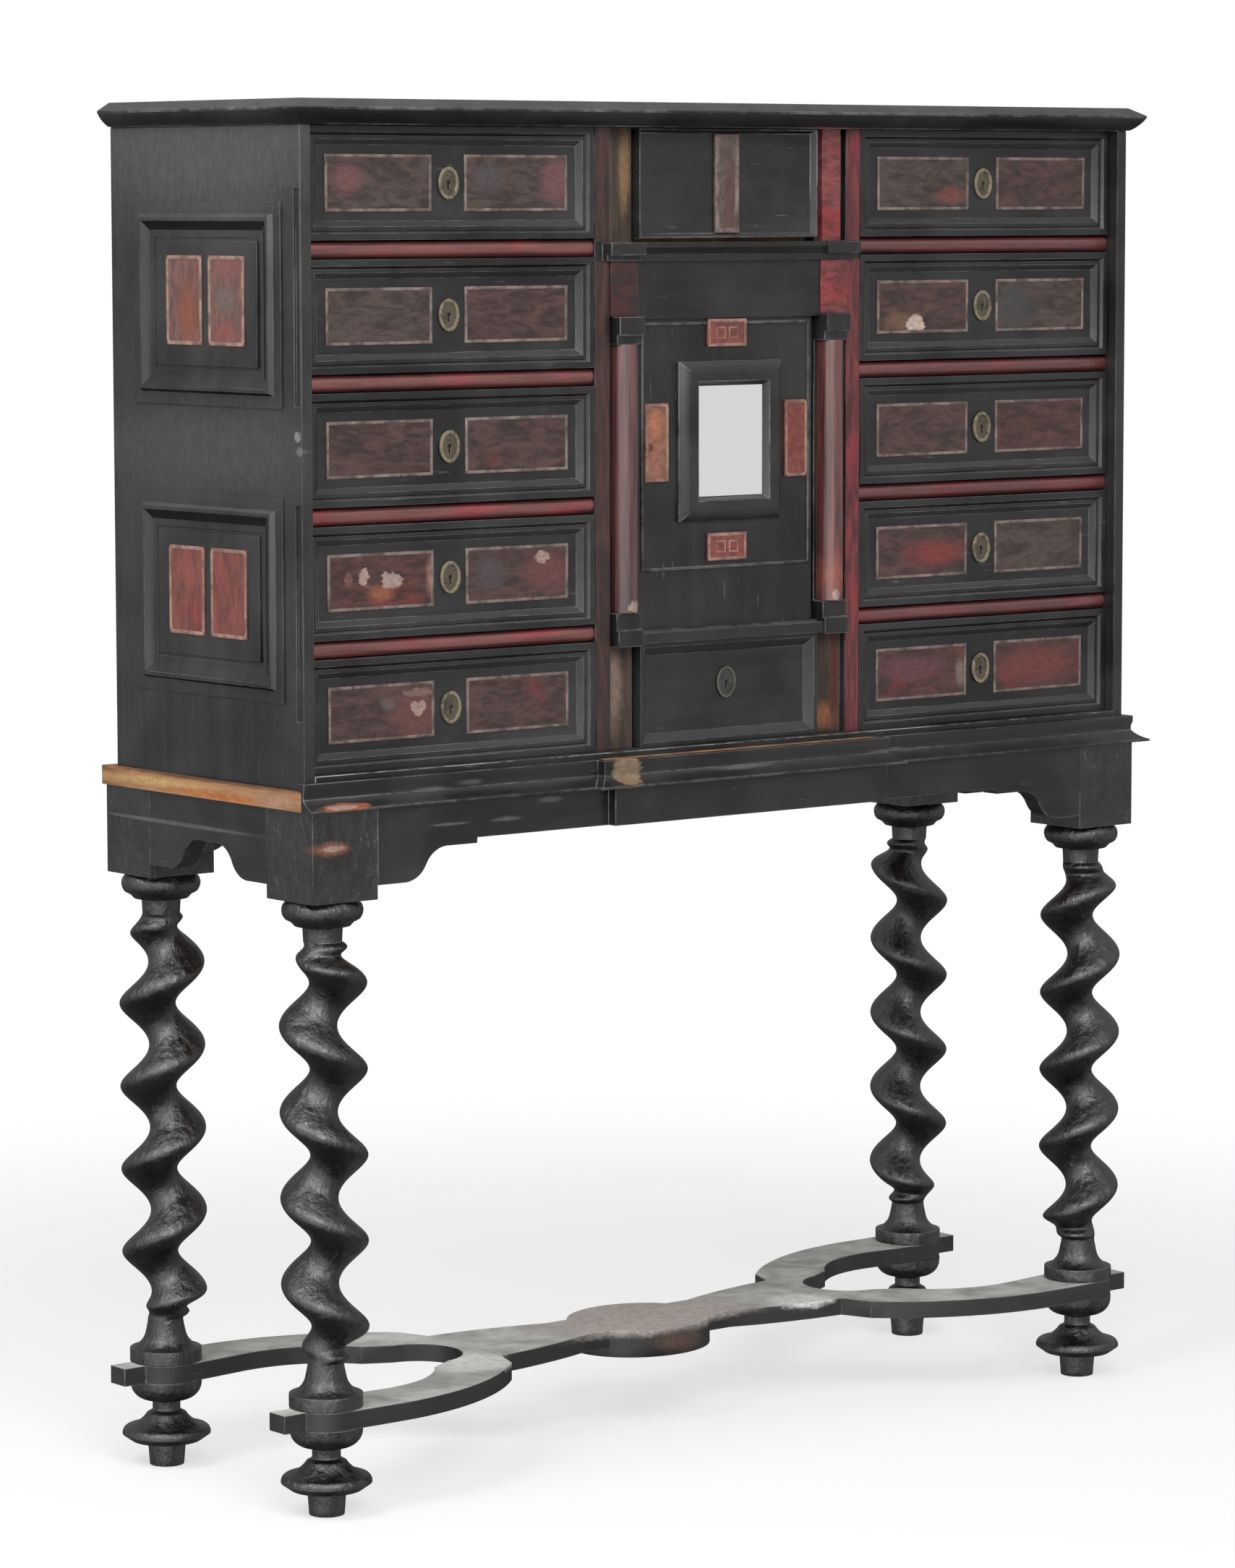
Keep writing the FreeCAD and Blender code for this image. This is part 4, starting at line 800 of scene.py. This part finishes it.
STRIP_LEFT = Shell("strip_left", grain=Grain.UPRIGHT, ground=(0.075, 0.014, 0.012),
                   clear=(0.048, 0.018, 0.016), thick=(0.014, 0.006, 0.006), ratio=6.0)
STRIP_RIGHT = Shell("strip_right", grain=Grain.UPRIGHT, ground=(0.22, 0.026, 0.036),
                    clear=(0.15, 0.026, 0.03), thick=(0.05, 0.01, 0.011), redness=0.5,
                    ratio=8.0, fine=1.5)
BLOCK_LEFT = Shell("block_left", ground=(0.06, 0.01, 0.009), clear=(0.036, 0.01, 0.009),
                   thick=(0.012, 0.005, 0.005), redness=0.6)
BLOCK_RIGHT = Shell("block_right", ground=(0.25, 0.028, 0.032), clear=(0.2, 0.05, 0.048),
                    thick=(0.08, 0.016, 0.016), redness=0.7)
CLOUD_UPPER = Shell(
    "side_shell_upper",
    (side_chip_or_painted_light(0.031, 1.272, 0.017, 0.032, (0.18, 0.054, 0.03), 1.2),
     side_chip_or_painted_light(-0.045, 1.322, 0.024, 0.012, (0.17, 0.06, 0.058), 1.2),
     side_chip_or_painted_light(-0.038, 1.288, 0.022, 0.014, (0.115, 0.08, 0.066), 1.2),
     side_chip_or_painted_light(-0.04, 1.25, 0.024, 0.012, (0.18, 0.056, 0.05), 1.2)),
    Grain.UPRIGHT, ground=(0.15, 0.048, 0.046), clear=(0.165, 0.072, 0.06),
    thick=(0.07, 0.038, 0.032), redness=0.35)
CLOUD_LOWER = replace(CLOUD_UPPER, name="side_shell_lower", places=(),
                      ground=(0.21, 0.036, 0.03), clear=(0.19, 0.048, 0.038),
                      thick=(0.09, 0.026, 0.021), redness=0.6)
PLAQUE = Shell("plaque", ground=(0.29, 0.05, 0.036), clear=(0.2, 0.046, 0.038),
               thick=(0.1, 0.026, 0.022), redness=0.6, ratio=1.3)
PLAQUE_LOST = replace(
    PLAQUE, name="plaque_chipped", clear=(0.26, 0.11, 0.068), thick=(0.15, 0.06, 0.036),
    ground=(0.3, 0.14, 0.085), places=(
        stain(-0.106, 1.146, 0.01, 0.014, (0.36, 0.13, 0.07)),
        chip_or_painted_glint(-0.117, 1.122, 0.01, 0.006, (0.11, 0.03, 0.012), 1.0)))
STRIP_ATTIC = Shell("attic_strip", (stain(0.003, 1.39, 0.008, 0.05, (0.085, 0.04, 0.034)),),
                    Grain.UPRIGHT, ground=(0.115, 0.07, 0.056), clear=(0.115, 0.085, 0.07),
                    thick=(0.05, 0.037, 0.032), ratio=1.5)
BRASS = Metal("old_brass")
BRASS_DARK = Metal("brass_recess", clean=(0.12, 0.1, 0.072), tarnish=(0.04, 0.034, 0.026))
# The small pale place on the lock plate is a painted highlight, the glint of the key.
IRON = Metal("old_iron", (chip_or_painted_glint(0.014, 0.858, 0.0022, 0.008, (0.55, 0.56, 0.54), 0.8),),
             clean=(0.05, 0.05, 0.049), tarnish=(0.012, 0.012, 0.012), rough=0.5, metallic=0.5)
IRON_RIM = Metal("iron_rim", clean=(0.14, 0.132, 0.11), tarnish=(0.045, 0.042, 0.036))
MIRROR = Silvered("silvered_glass")
STRINGING = Bone("bone_stringing")
CREAM = Bone("bone_cream", pale=(0.3, 0.185, 0.145), stained=(0.13, 0.07, 0.056))


# Meshes


def mesh_data(name: str, mesh: Mesh) -> bpy.types.Mesh:
    """Turn a finished bmesh into mesh data, and free it."""
    data = bpy.data.meshes.new(name)
    mesh.to_mesh(data)
    mesh.free()
    return data


def link(name: str, data: bpy.types.ID) -> bpy.types.Object:
    """Put a mesh, lamp or camera in the scene as an object."""
    item = bpy.data.objects.new(name, data)
    bpy.context.scene.collection.objects.link(item)
    return item


def new_piece(name: str, mesh: Mesh, body: str,
              finishes: tuple[Finish, ...]) -> bpy.types.Object:
    """Turn a finished bmesh into a piece that rides on a body.

    Args:
        name: The piece's name.
        mesh: Its mesh, in the cabinet's frame; it is freed here.
        body: The body that carries it.
        finishes: One finish for each of its material indices.

    Returns:
        The new object.
    """
    data = mesh_data(name, mesh)
    for finish in finishes:
        data.materials.append(finish.material())
    piece = link(name, data)
    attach(piece, body)
    LOG.info("%s: %d faces", name, len(data.polygons))
    return piece


def smooth_shading(mesh: Mesh, limit: float = 22.0) -> None:
    """Shade round stretches smooth and keep every sharper edge crisp."""
    for face in mesh.faces:
        face.smooth = True
    for edge in mesh.edges:
        if len(edge.link_faces) == 2:
            edge.smooth = edge.calc_face_angle(0.0) < math.radians(limit)


def soften(mesh: Mesh, geom: list[object], offset: float, segments: int = 2,
           affect: str = "EDGES") -> list[Face]:
    """Round edges or corners of a mesh and return the new faces."""
    return bmesh.ops.bevel(mesh, geom=geom, offset=offset, offset_type="OFFSET",
                           segments=segments, profile=0.5, affect=affect, clamp_overlap=True,
                           material=-1)["faces"]


def islands(mesh: Mesh) -> list[list[Face]]:
    """Group a mesh's faces into the separate solids that they belong to."""
    left = set(mesh.faces)
    found = []
    while left:
        group = [left.pop()]
        for face in group:
            for edge in face.edges:
                for other in edge.link_faces:
                    if other in left:
                        left.remove(other)
                        group.append(other)
        found.append(group)
    return found


def corners(group: list[Face]) -> tuple[Vector, Vector]:
    """Return the lowest and highest corner of one solid's faces."""
    spots = [vert.co for face in group for vert in face.verts]
    low = Vector(min(spot[axis] for spot in spots) for axis in range(3))
    high = Vector(max(spot[axis] for spot in spots) for axis in range(3))
    return low, high


def merged(node: str) -> Mesh:
    """Return a copy of a CAD node's mesh with its doubles merged."""
    mesh = bmesh.new()
    mesh.from_mesh(frame["nodes"][node].data)
    bmesh.ops.remove_doubles(mesh, verts=mesh.verts, dist=WELD)
    return mesh


def solid_corners(node: str) -> list[tuple[Vector, Vector]]:
    """Return the lowest and highest corner of each solid of a CAD node."""
    mesh = merged(node)
    found = [corners(group) for group in islands(mesh)]
    mesh.free()
    return found


def front_middle(low: Vector, high: Vector) -> Vector:
    """Return the middle of the front of a solid, given its corners."""
    return Vector(((low.x + high.x) / 2, low.y, (low.z + high.z) / 2))


@dataclass
class Joiner:
    """Makes softened, worn copies of sawn and planed pieces.

    Attributes:
        edge: Width of the softened arris, in metres.
        sharp: Angle over which an edge is an arris, in degrees.
        flat: Angle under which two faces are one, in degrees.
    """

    edge: float = 0.0009
    sharp: float = 24.0
    flat: float = 0.6

    def copy_mesh(self, node: str) -> Mesh:
        """Return a merged copy of a CAD node's mesh with its arrises softened."""
        mesh = merged(node)
        for layer in list(mesh.loops.layers.uv):
            mesh.loops.layers.uv.remove(layer)
        bmesh.ops.dissolve_limit(mesh, angle_limit=math.radians(self.flat), verts=mesh.verts,
                                 edges=mesh.edges)
        wear = mesh.faces.layers.float.new(WEAR)
        arrises = [edge for edge in mesh.edges if len(edge.link_faces) == 2
                   and edge.calc_face_angle(0.0) > math.radians(self.sharp)]
        for face in soften(mesh, arrises, self.edge):
            face[wear] = 1.0
        smooth_shading(mesh)
        return mesh

    def dress(self, node: str, *finishes: Finish, slot: str = "ebonised_wood",
              pick: Picker | None = None, cuts: tuple[float, ...] = ()) -> None:
        """Stand a softened copy in for a CAD node.

        Args:
            node: The CAD node.
            finishes: What the copy is made of, one for each material index.
            slot: Not used.
            pick: Gives a face its material index, where there are several.
            cuts: Heights at which the faces are parted first, so that the finish can change.
        """
        mesh = self.copy_mesh(node)
        for height in cuts:
            bmesh.ops.bisect_plane(mesh, geom=[*mesh.verts, *mesh.edges, *mesh.faces],
                                   plane_co=(0.0, 0.0, height), plane_no=(0.0, 0.0, 1.0))
        if pick:
            for face in mesh.faces:
                face.material_index = pick(face)
        body = frame["nodes"][node]["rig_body"]
        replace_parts(new_piece(f"{node}_worn", mesh, body, finishes), node)


def paint(node: str, finish: Finish) -> None:
    """Give a CAD node a finish and leave its mesh alone."""
    for slot in frame["nodes"][node].material_slots:
        slot.material = finish.material()
    LOG.info("%s: %s", node, finish.name)


@dataclass
class Inlay:
    """Thin rings that are laid on a face of the cabinet, as one piece.

    Attributes:
        facing: Which way they look.
        mesh: What is laid so far.
    """

    facing: Facing = Facing.FRONT
    mesh: Mesh = field(default_factory=bmesh.new)

    def lay(self, shape: Mesh, spot: Vector) -> None:
        """Stand a shape at a spot among the others, and free it."""
        bmesh.ops.recalc_face_normals(shape, faces=shape.faces)
        shape.transform(self.facing.stand(spot))
        data = mesh_data("laid", shape)
        self.mesh.from_mesh(data)
        bpy.data.meshes.remove(data)

    def raise_ring(self, shape: Mesh, line: float, proud: float) -> None:
        """Turn a flat face into a raised ring with a rounded crest.

        Args:
            shape: The mesh that holds the face, lying face up.
            line: The width of the ring.
            proud: How far it stands up.
        """
        middle = list(shape.faces)
        rim = bmesh.ops.inset_region(shape, faces=middle, thickness=line, use_boundary=True,
                                     use_even_offset=True)
        bmesh.ops.delete(shape, geom=middle, context="FACES_ONLY")
        grown = bmesh.ops.extrude_face_region(shape, geom=rim["faces"])
        moved = [item for item in grown["geom"] if isinstance(item, bmesh.types.BMVert)]
        bmesh.ops.translate(shape, vec=(0.0, 0.0, proud), verts=moved)
        crest = [edge for edge in shape.edges if len(edge.link_faces) == 2
                 and min(vert.co.z for vert in edge.verts) > proud / 2
                 and edge.calc_face_angle(0.0) > 0.5]
        soften(shape, crest, min(proud, line) * CREST)

    def frame(self, spot: Vector, wide: float, tall: float, line: float, proud: float,
              corner: float = 0.0) -> None:
        """Lay a thin rectangular line.

        Args:
            spot: The middle of its back.
            wide: Its outer width.
            tall: Its outer height.
            line: The width of the line.
            proud: How far it stands off its ground.
            corner: How far its corners are rounded.
        """
        shape = bmesh.new()
        bmesh.ops.create_grid(shape, x_segments=1, y_segments=1, size=0.5)
        bmesh.ops.scale(shape, vec=(wide, tall, 1.0), verts=shape.verts)
        if corner:
            soften(shape, list(shape.verts), corner, 5, "VERTICES")
        self.raise_ring(shape, line, proud)
        self.lay(shape, spot)

    def oval(self, spot: Vector, half_wide: float, half_tall: float, line: float,
             proud: float) -> None:
        """Lay an oval rim; its arguments are as frame's, with half sizes."""
        shape = bmesh.new()
        bmesh.ops.create_circle(shape, cap_ends=True, radius=1.0, segments=36)
        bmesh.ops.scale(shape, vec=(half_wide, half_tall, 1.0), verts=shape.verts)
        self.raise_ring(shape, line, proud)
        self.lay(shape, spot)

    def finish(self, name: str, body: str, slot: str, finish: Finish) -> None:
        """Make one piece of all that is laid; its arguments are as new_piece's."""
        smooth_shading(self.mesh, limit=40.0)
        new_piece(name, self.mesh, body, (finish,))


# Sub-assemblies


@dataclass
class SideDrawer:
    """The front of one drawer in an outer bay, with its stringing and key rim.

    Attributes:
        place: Which drawer it is, such as left_1.
        plate_apart: Between the centres of its two shell plates.
        border_proud: How far the border stands off the panel.
        line: Width of the stringing, which is line_proud off the panel.
        key_line: Width of the key plate's rim, which is key_proud off that plate.
    """

    place: str
    plate_wide: float = 0.132
    plate_tall: float = 0.053
    plate_apart: float = 0.182
    border_proud: float = 0.008
    line: float = 0.0034
    line_proud: float = 0.0013
    key_half_wide: float = 0.0135
    key_half_tall: float = 0.0175
    key_thick: float = 0.0016
    key_line: float = 0.004
    key_proud: float = 0.0012

    @property
    def body(self) -> str:
        """Return the drawer's body, which its CAD nodes are named after."""
        return f"drawer_{self.place}"

    def front_mesh(self, middle: float) -> Mesh:
        """Return the softened front: 0 is wood, 1 and 2 the plates, 3 the key plate."""
        mesh = Joiner().copy_mesh(f"{self.body}_front")
        for group in islands(mesh):
            low, high = corners(group)
            wide = high.x - low.x
            index = 0
            if wide < self.key_half_wide * 3:
                index = 3
            elif wide < self.plate_wide * 1.1:
                index = 1 if low.x < middle - self.plate_apart / 4 else 2
            for face in group:
                face.material_index = index
        return mesh

    def build(self) -> None:
        """Make the front, the stringing round its plates and the key rim."""
        node = f"{self.body}_front"
        low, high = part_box(node)
        centre = (low + high) / 2
        panel = low.y + self.border_proud
        front = new_piece(f"{self.body}_face", self.front_mesh(centre.x), self.body,
                          (BLACK, *PLATES[self.place], BRASS_DARK))
        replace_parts(front, node)
        lines = Inlay()
        for side in (-1, 1):
            spot = Vector((centre.x + side * self.plate_apart / 2, panel, centre.z))
            lines.frame(spot, self.plate_wide + 2 * self.line, self.plate_tall + 2 * self.line,
                        self.line, self.line_proud)
        lines.finish(f"{self.body}_stringing", self.body, "red_shell", STRINGING)
        rim = Inlay()
        rim.oval(Vector((centre.x, panel - self.key_thick, centre.z)), self.key_half_wide,
                 self.key_half_tall, self.key_line, self.key_proud)
        rim.finish(f"{self.body}_key_rim", self.body, "ebonised_wood", BRASS)
        paint(f"{self.body}_box", OAK_DEEP)


@dataclass
class MiddleBay:
    """The door, the two drawers over and under it, and the pilasters.

    Attributes:
        ground: How far back the bare ground of the pilasters lies, give or take level.
        base: Height of the foot of the pilasters' bases.
        entablature: Height of the top of the pilasters' entablatures.
        column_top: Height between the columns and the red blocks.
        blocks: Heights between which the red blocks lie.
        strip_inner: Inner edge of the outer strips, from the middle.
        plaque_left: Inner edge of the left plaque, from the middle.
        line: Width of the lines on the plaques, which stand line_proud off them.
        line_inset: How much narrower than a plate its line is.
        corner: How far the lines of the tall plaques are rounded.
        little_line: Width of the lines of the two little squares on a wide plaque.
        little_apart: How far they are from its middle, as a share of its width.
        little_wide: Their width, as a share of its width.
        little_tall: Their height, as a share of its height.
        strip_line: Width of the line on the attic drawer's strip.
        lock_line: Width of the rim of the lock plate under the door.
    """

    ground: float = -0.146
    level: float = 0.0006
    base: float = 0.906
    entablature: float = 1.345
    column_top: float = 1.25
    blocks: tuple[float, float] = (1.26, 1.33)
    strip_inner: float = 0.168
    plaque_left: float = -0.08
    line: float = 0.0034
    line_proud: float = 0.0006
    line_inset: float = 0.001
    corner: float = 0.006
    little_line: float = 0.0016
    little_proud: float = 0.0004
    little_apart: float = 0.16
    little_wide: float = 0.24
    little_tall: float = 0.42
    strip_line: float = 0.0055
    strip_proud: float = 0.0005
    lock_line: float = 0.0026
    lock_proud: float = 0.0009
    joiner: Joiner = field(default_factory=Joiner)

    def build(self) -> None:
        """Dress every piece of the middle bay."""
        for label in ("left", "right"):
            self.joiner.dress(f"pilaster_{label}", BLACK_UP, GROUND, pick=self.pilaster_finish,
                              cuts=(self.base, self.entablature))
        self.joiner.dress("pilaster_shells", COLUMN_LEFT, BLOCK_LEFT, STRIP_LEFT, COLUMN_RIGHT,
                          BLOCK_RIGHT, STRIP_RIGHT, slot="red_shell", pick=self.shell_finish)
        for node, finish in (("centre_cornice", BLACK), ("centre_shelf_lower", BLACK),
                             ("door_leaf", BLACK_UP), ("door_mouldings", BLACK)):
            self.joiner.dress(node, finish)
        self.plaques()
        paint("door_mirror", MIRROR)
        paint("centre_shelf_upper", OAK)
        self.attic_drawer()
        self.plinth_drawer()

    def pilaster_finish(self, face: Face) -> int:
        """Return 1 for a face of the bare ground over and under the column, else 0."""
        spot = face.calc_center_median()
        bare = not self.base < spot.z < self.entablature
        return int(bare and face.normal.y < -0.9 and abs(spot.y - self.ground) < self.level)

    def shell_finish(self, face: Face) -> int:
        """Return the index of a column's, block's or strip's finish."""
        spot = face.calc_center_median()
        kind = 1 if spot.z > self.column_top else 0
        if abs(spot.x) > self.strip_inner and not self.blocks[0] < spot.z < self.blocks[1]:
            kind = 2
        return kind + (3 if spot.x > 0 else 0)

    def plaques(self) -> None:
        """Dress the four plaques and lay a pale line round each."""
        self.joiner.dress(
            "door_plaques", PLAQUE, PLAQUE_LOST, slot="red_shell",
            pick=lambda face: int(face.calc_center_median().x < self.plaque_left))
        lines = Inlay()
        for low, high in solid_corners("door_plaques"):
            spot = front_middle(low, high)
            wide, tall = high.x - low.x, high.z - low.z
            lines.frame(spot, wide - self.line_inset, tall - self.line_inset, self.line,
                        self.line_proud, self.corner if wide < tall else 0.0)
            for side in (-1, 1) if wide > tall else ():
                beside = spot + Vector((side * wide * self.little_apart, 0.0, 0.0))
                lines.frame(beside, wide * self.little_wide, tall * self.little_tall,
                            self.little_line, self.little_proud)
        lines.finish("door_plaque_lines", "door", "red_shell", CREAM)

    def drawer_front(self, body: str, *finishes: Finish) -> tuple[Vector, Vector]:
        """Dress a middle drawer and return the corners of the smaller solid on its front.

        Args:
            body: The drawer's body.
            finishes: What its wood and its smaller solid are made of.

        Returns:
            The lowest and highest corner of the smaller solid.
        """
        mesh = self.joiner.copy_mesh(f"{body}_front")
        groups = sorted(islands(mesh), key=lambda group: corners(group)[1].x)
        for group in groups[:-1]:
            for face in group:
                face.material_index = 1
        found = corners(groups[0])
        piece = new_piece(f"{body}_face", mesh, body, finishes)
        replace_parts(piece, f"{body}_front")
        paint(f"{body}_box", OAK_DEEP)
        return found

    def attic_drawer(self) -> None:
        """Dress the drawer over the door and its shell strip."""
        low, high = self.drawer_front("attic_drawer", BLACK, STRIP_ATTIC)
        lines = Inlay()
        lines.frame(front_middle(low, high), high.x - low.x - self.line_inset,
                    high.z - low.z - self.line_inset, self.strip_line, self.strip_proud)
        lines.finish("attic_drawer_lines", "attic_drawer", "red_shell", STRINGING)

    def plinth_drawer(self) -> None:
        """Dress the drawer under the door and its lock plate."""
        low, high = self.drawer_front("plinth_drawer", BLACK, IRON)
        rim = Inlay()
        rim.oval(front_middle(low, high), (high.x - low.x) / 2, (high.z - low.z) / 2,
                 self.lock_line, self.lock_proud)
        rim.finish("plinth_drawer_key_rim", "plinth_drawer", "ebonised_wood", IRON_RIM)


@dataclass
class Case:
    """The carcase with its cornice, rails and side panels.

    Attributes:
        shells_between: A height between the lower and upper shell plates of a side.
        turned: How far a face looks down or back to get the painted shade.
        line: Width of the pale line round them, which is line_proud off them.
    """

    shells_between: float = 1.13
    turned: float = 0.35
    line: float = 0.004
    line_proud: float = 0.0006
    corner: float = 0.006
    joiner: Joiner = field(default_factory=Joiner)

    def build(self) -> None:
        """Dress every piece of the case."""
        for label, rail in (("left", RAIL_LEFT), ("right", RAIL_RIGHT)):
            self.joiner.dress(f"case_side_{label}", BLACK_SIDE)
            self.joiner.dress(f"shell_rails_{label}", rail, slot="red_shell")
            paint(f"partition_{label}", OAK_UP)
            paint(f"dust_boards_{label}", OAK)
        self.joiner.dress("case_top", BLACK)
        self.joiner.dress("case_bottom", BLACK_LIP_WEAR_AND_HIGHLIGHT)
        self.joiner.dress("cornice", BLACK)
        # The frames' faces that look down or back get the painted shade.
        self.joiner.dress("side_frames", BLACK_SIDE, BLACK_PAINTED_SHADE, pick=self.frame_finish)
        self.joiner.dress(
            "side_shells", CLOUD_LOWER, CLOUD_UPPER, slot="red_shell",
            pick=lambda face: int(face.calc_center_median().z > self.shells_between))
        self.side_lines()
        paint("case_back", OAK)

    def frame_finish(self, face: Face) -> int:
        """Return 1 for a face that looks down or back, which gets the painted shade, else 0."""
        return int(face.normal.z < -self.turned or face.normal.y > self.turned)

    def side_lines(self) -> None:
        """Lay a pale line with rounded corners round each shell plate of the two sides."""
        left, right = Inlay(Facing.LEFT), Inlay(Facing.RIGHT)
        for low, high in solid_corners("side_shells"):
            inlay, face = (left, low.x) if low.x < 0 else (right, high.x)
            spot = Vector((face, (low.y + high.y) / 2, (low.z + high.z) / 2))
            inlay.frame(spot, high.y - low.y - self.line_proud, high.z - low.z - self.line_proud,
                        self.line, self.line_proud, self.corner)
        left.finish("side_lines_left", "carcase", "red_shell", CREAM)
        right.finish("side_lines_right", "carcase", "red_shell", CREAM)


@dataclass
class Stand:
    """The stand: mouldings, aprons, legs, stretcher and feet, sawn or turned."""

    joiner: Joiner = field(default_factory=Joiner)
    turner: Joiner = field(default_factory=lambda: Joiner(edge=0.0007, sharp=50.0))

    def build(self) -> None:
        """Dress every piece of the stand."""
        self.joiner.dress("stand_moulding", BLACK_BEAK)
        for node in ("apron_front", "apron_back"):
            self.joiner.dress(node, BLACK)
        for node in ("apron_left", "apron_right"):
            self.joiner.dress(node, BLACK_DEEP)
        self.joiner.dress("stand_top_board", OAK_EDGE, slot="bare_oak")
        for node in ("leg_front_left", "leg_front_right", "leg_back_left", "leg_back_right",
                     "feet"):
            self.turner.dress(node, TURNING)
        self.joiner.dress("stretcher", BLACK_FLOOR)


@dataclass
class Studio:
    """The floor, the light and the camera.

    Attributes:
        spot: Where the camera stands.
        turn: Its heading, in degrees from the back towards the right.
        pitch: How far it looks down, in degrees.
        focal: Focal length in pixels of the 1708 by 2169 picture.
        picture_tall: The picture's long side in pixels.
        sensor: The sensor's long side, in millimetres.
        sight: How far the camera sees.
        near: Radius within which the floor takes the shadow.
        far: Radius beyond which it shows plain white.
        veil: How much of the shadow is veiled by white within the near radius.
        fill: Strength of the light from all round.
        aim: Where the lamps shine.
    """

    spot: Vector = field(default_factory=lambda: Vector((-3.871, -4.7616, 1.389)))
    turn: float = 38.86
    pitch: float = 6.11
    roll: float = -0.1
    focal: float = 7525.0
    picture_tall: float = 2169.0
    sensor: float = 36.0
    sight: float = 60.0
    floor_half: float = 30.0
    near: float = 0.9
    far: float = 2.4
    veil: float = 0.65
    fill: float = 0.35
    aim: Vector = field(default_factory=lambda: Vector((0.0, 0.0, 0.8)))

    def camera(self) -> None:
        """Stand the camera where the photograph was taken from."""
        data = bpy.data.cameras.new("camera")
        data.sensor_width = self.sensor
        data.lens = self.focal / self.picture_tall * self.sensor
        data.clip_end = self.sight
        item = link("camera", data)
        tilt = Matrix.Rotation(math.radians(90 - self.pitch), 4, "X")
        heading = Matrix.Rotation(math.radians(-self.turn), 4, "Z")
        roll = Matrix.Rotation(math.radians(self.roll), 4, "Z")
        item.matrix_world = Matrix.Translation(self.spot) @ heading @ tilt @ roll
        bpy.context.scene.camera = item

    def seen(self, tree: Tree) -> tuple[Socket, ...]:
        """Tell which rays see white.

        Args:
            tree: The tree of the floor's or the world's nodes.

        Returns:
            1 for a ray that looks straight on and else 0, 1 for a mirrored ray and else 0,
            and the strength that either sees.
        """
        path = tree.add("LightPath").outputs
        straight = tree.math("MAXIMUM", path["Is Camera Ray"], path["Is Transmission Ray"])
        mirrored = path["Is Glossy Ray"]
        around = surround.place(tree, Incoming=tree.add("NewGeometry").outputs["Incoming"])[0]
        strength = tree.math("MAXIMUM", straight, tree.math("MULTIPLY", mirrored, around))
        return straight, mirrored, strength

    def floor(self) -> None:
        """Lay the pale floor, which takes the shadow and shows plain white further off."""
        mesh = bmesh.new()
        bmesh.ops.create_grid(mesh, x_segments=1, y_segments=1, size=self.floor_half)
        made = bpy.data.materials.new("studio_floor")
        made.use_nodes = True
        nodes = made.node_tree.nodes
        tree = Tree(made.node_tree)
        pale = tree.fill(nodes["Principled BSDF"], {
            "Base Color": (0.93, 0.93, 0.93, 1.0), "Roughness": 0.9, "Specular IOR Level": 0.1})
        straight, mirrored, strength = self.seen(tree)
        white = tree.fill(tree.add("Emission"), {"Strength": strength})
        away = tree.vector("LENGTH", tree.add("TexCoord").outputs["Object"])["Value"]
        share = tree.span(away, self.near, self.far, self.veil, 1.0)
        plain = tree.math("MAXIMUM", mirrored, tree.math("MULTIPLY", straight, share))
        mixed = tree.fill(tree.add("MixShader"), {0: plain, 1: pale[0], 2: white[0]})
        tree.feed(nodes["Material Output"].inputs["Surface"], mixed[0])
        data = mesh_data("floor", mesh)
        data.materials.append(made)
        link("floor", data)

    def world(self) -> None:
        """Light from all round, and white where the camera sees past the floor."""
        world = bpy.data.worlds.new("studio")
        world.use_nodes = True
        bpy.context.scene.world = world
        tree = Tree(world.node_tree)
        tree.fill(world.node_tree.nodes["Background"], {
            "Color": (1.0, 1.0, 1.0, 1.0),
            "Strength": tree.math("MAXIMUM", self.seen(tree)[2], self.fill)})

    def lamp(self, name: str, spot: Vector, size: float, watts: float) -> None:
        """Hang a soft lamp that shines at the cabinet's middle."""
        data = bpy.data.lights.new(name, "AREA")
        data.size = size
        data.energy = watts
        turn = (self.aim - spot).to_track_quat("-Z", "Y").to_matrix().to_4x4()
        link(name, data).matrix_world = Matrix.Translation(spot) @ turn

    def build(self) -> None:
        """Set up the studio."""
        bpy.context.scene.view_settings.view_transform = "Standard"
        self.camera()
        self.floor()
        self.world()
        self.lamp("key", Vector((-2.5, -0.6, 3.0)), 1.4, 62.0)
        self.lamp("front", Vector((-1.8, -3.6, 3.4)), 2.4, 160.0)


def main() -> None:
    """Build the cabinet's looks in order."""
    logging.basicConfig(level=logging.INFO, format="%(message)s")
    Studio().build()
    Case().build()
    for place in PLATES:
        SideDrawer(place).build()
    MiddleBay().build()
    Stand().build()


if __name__ == "__main__":
    main()
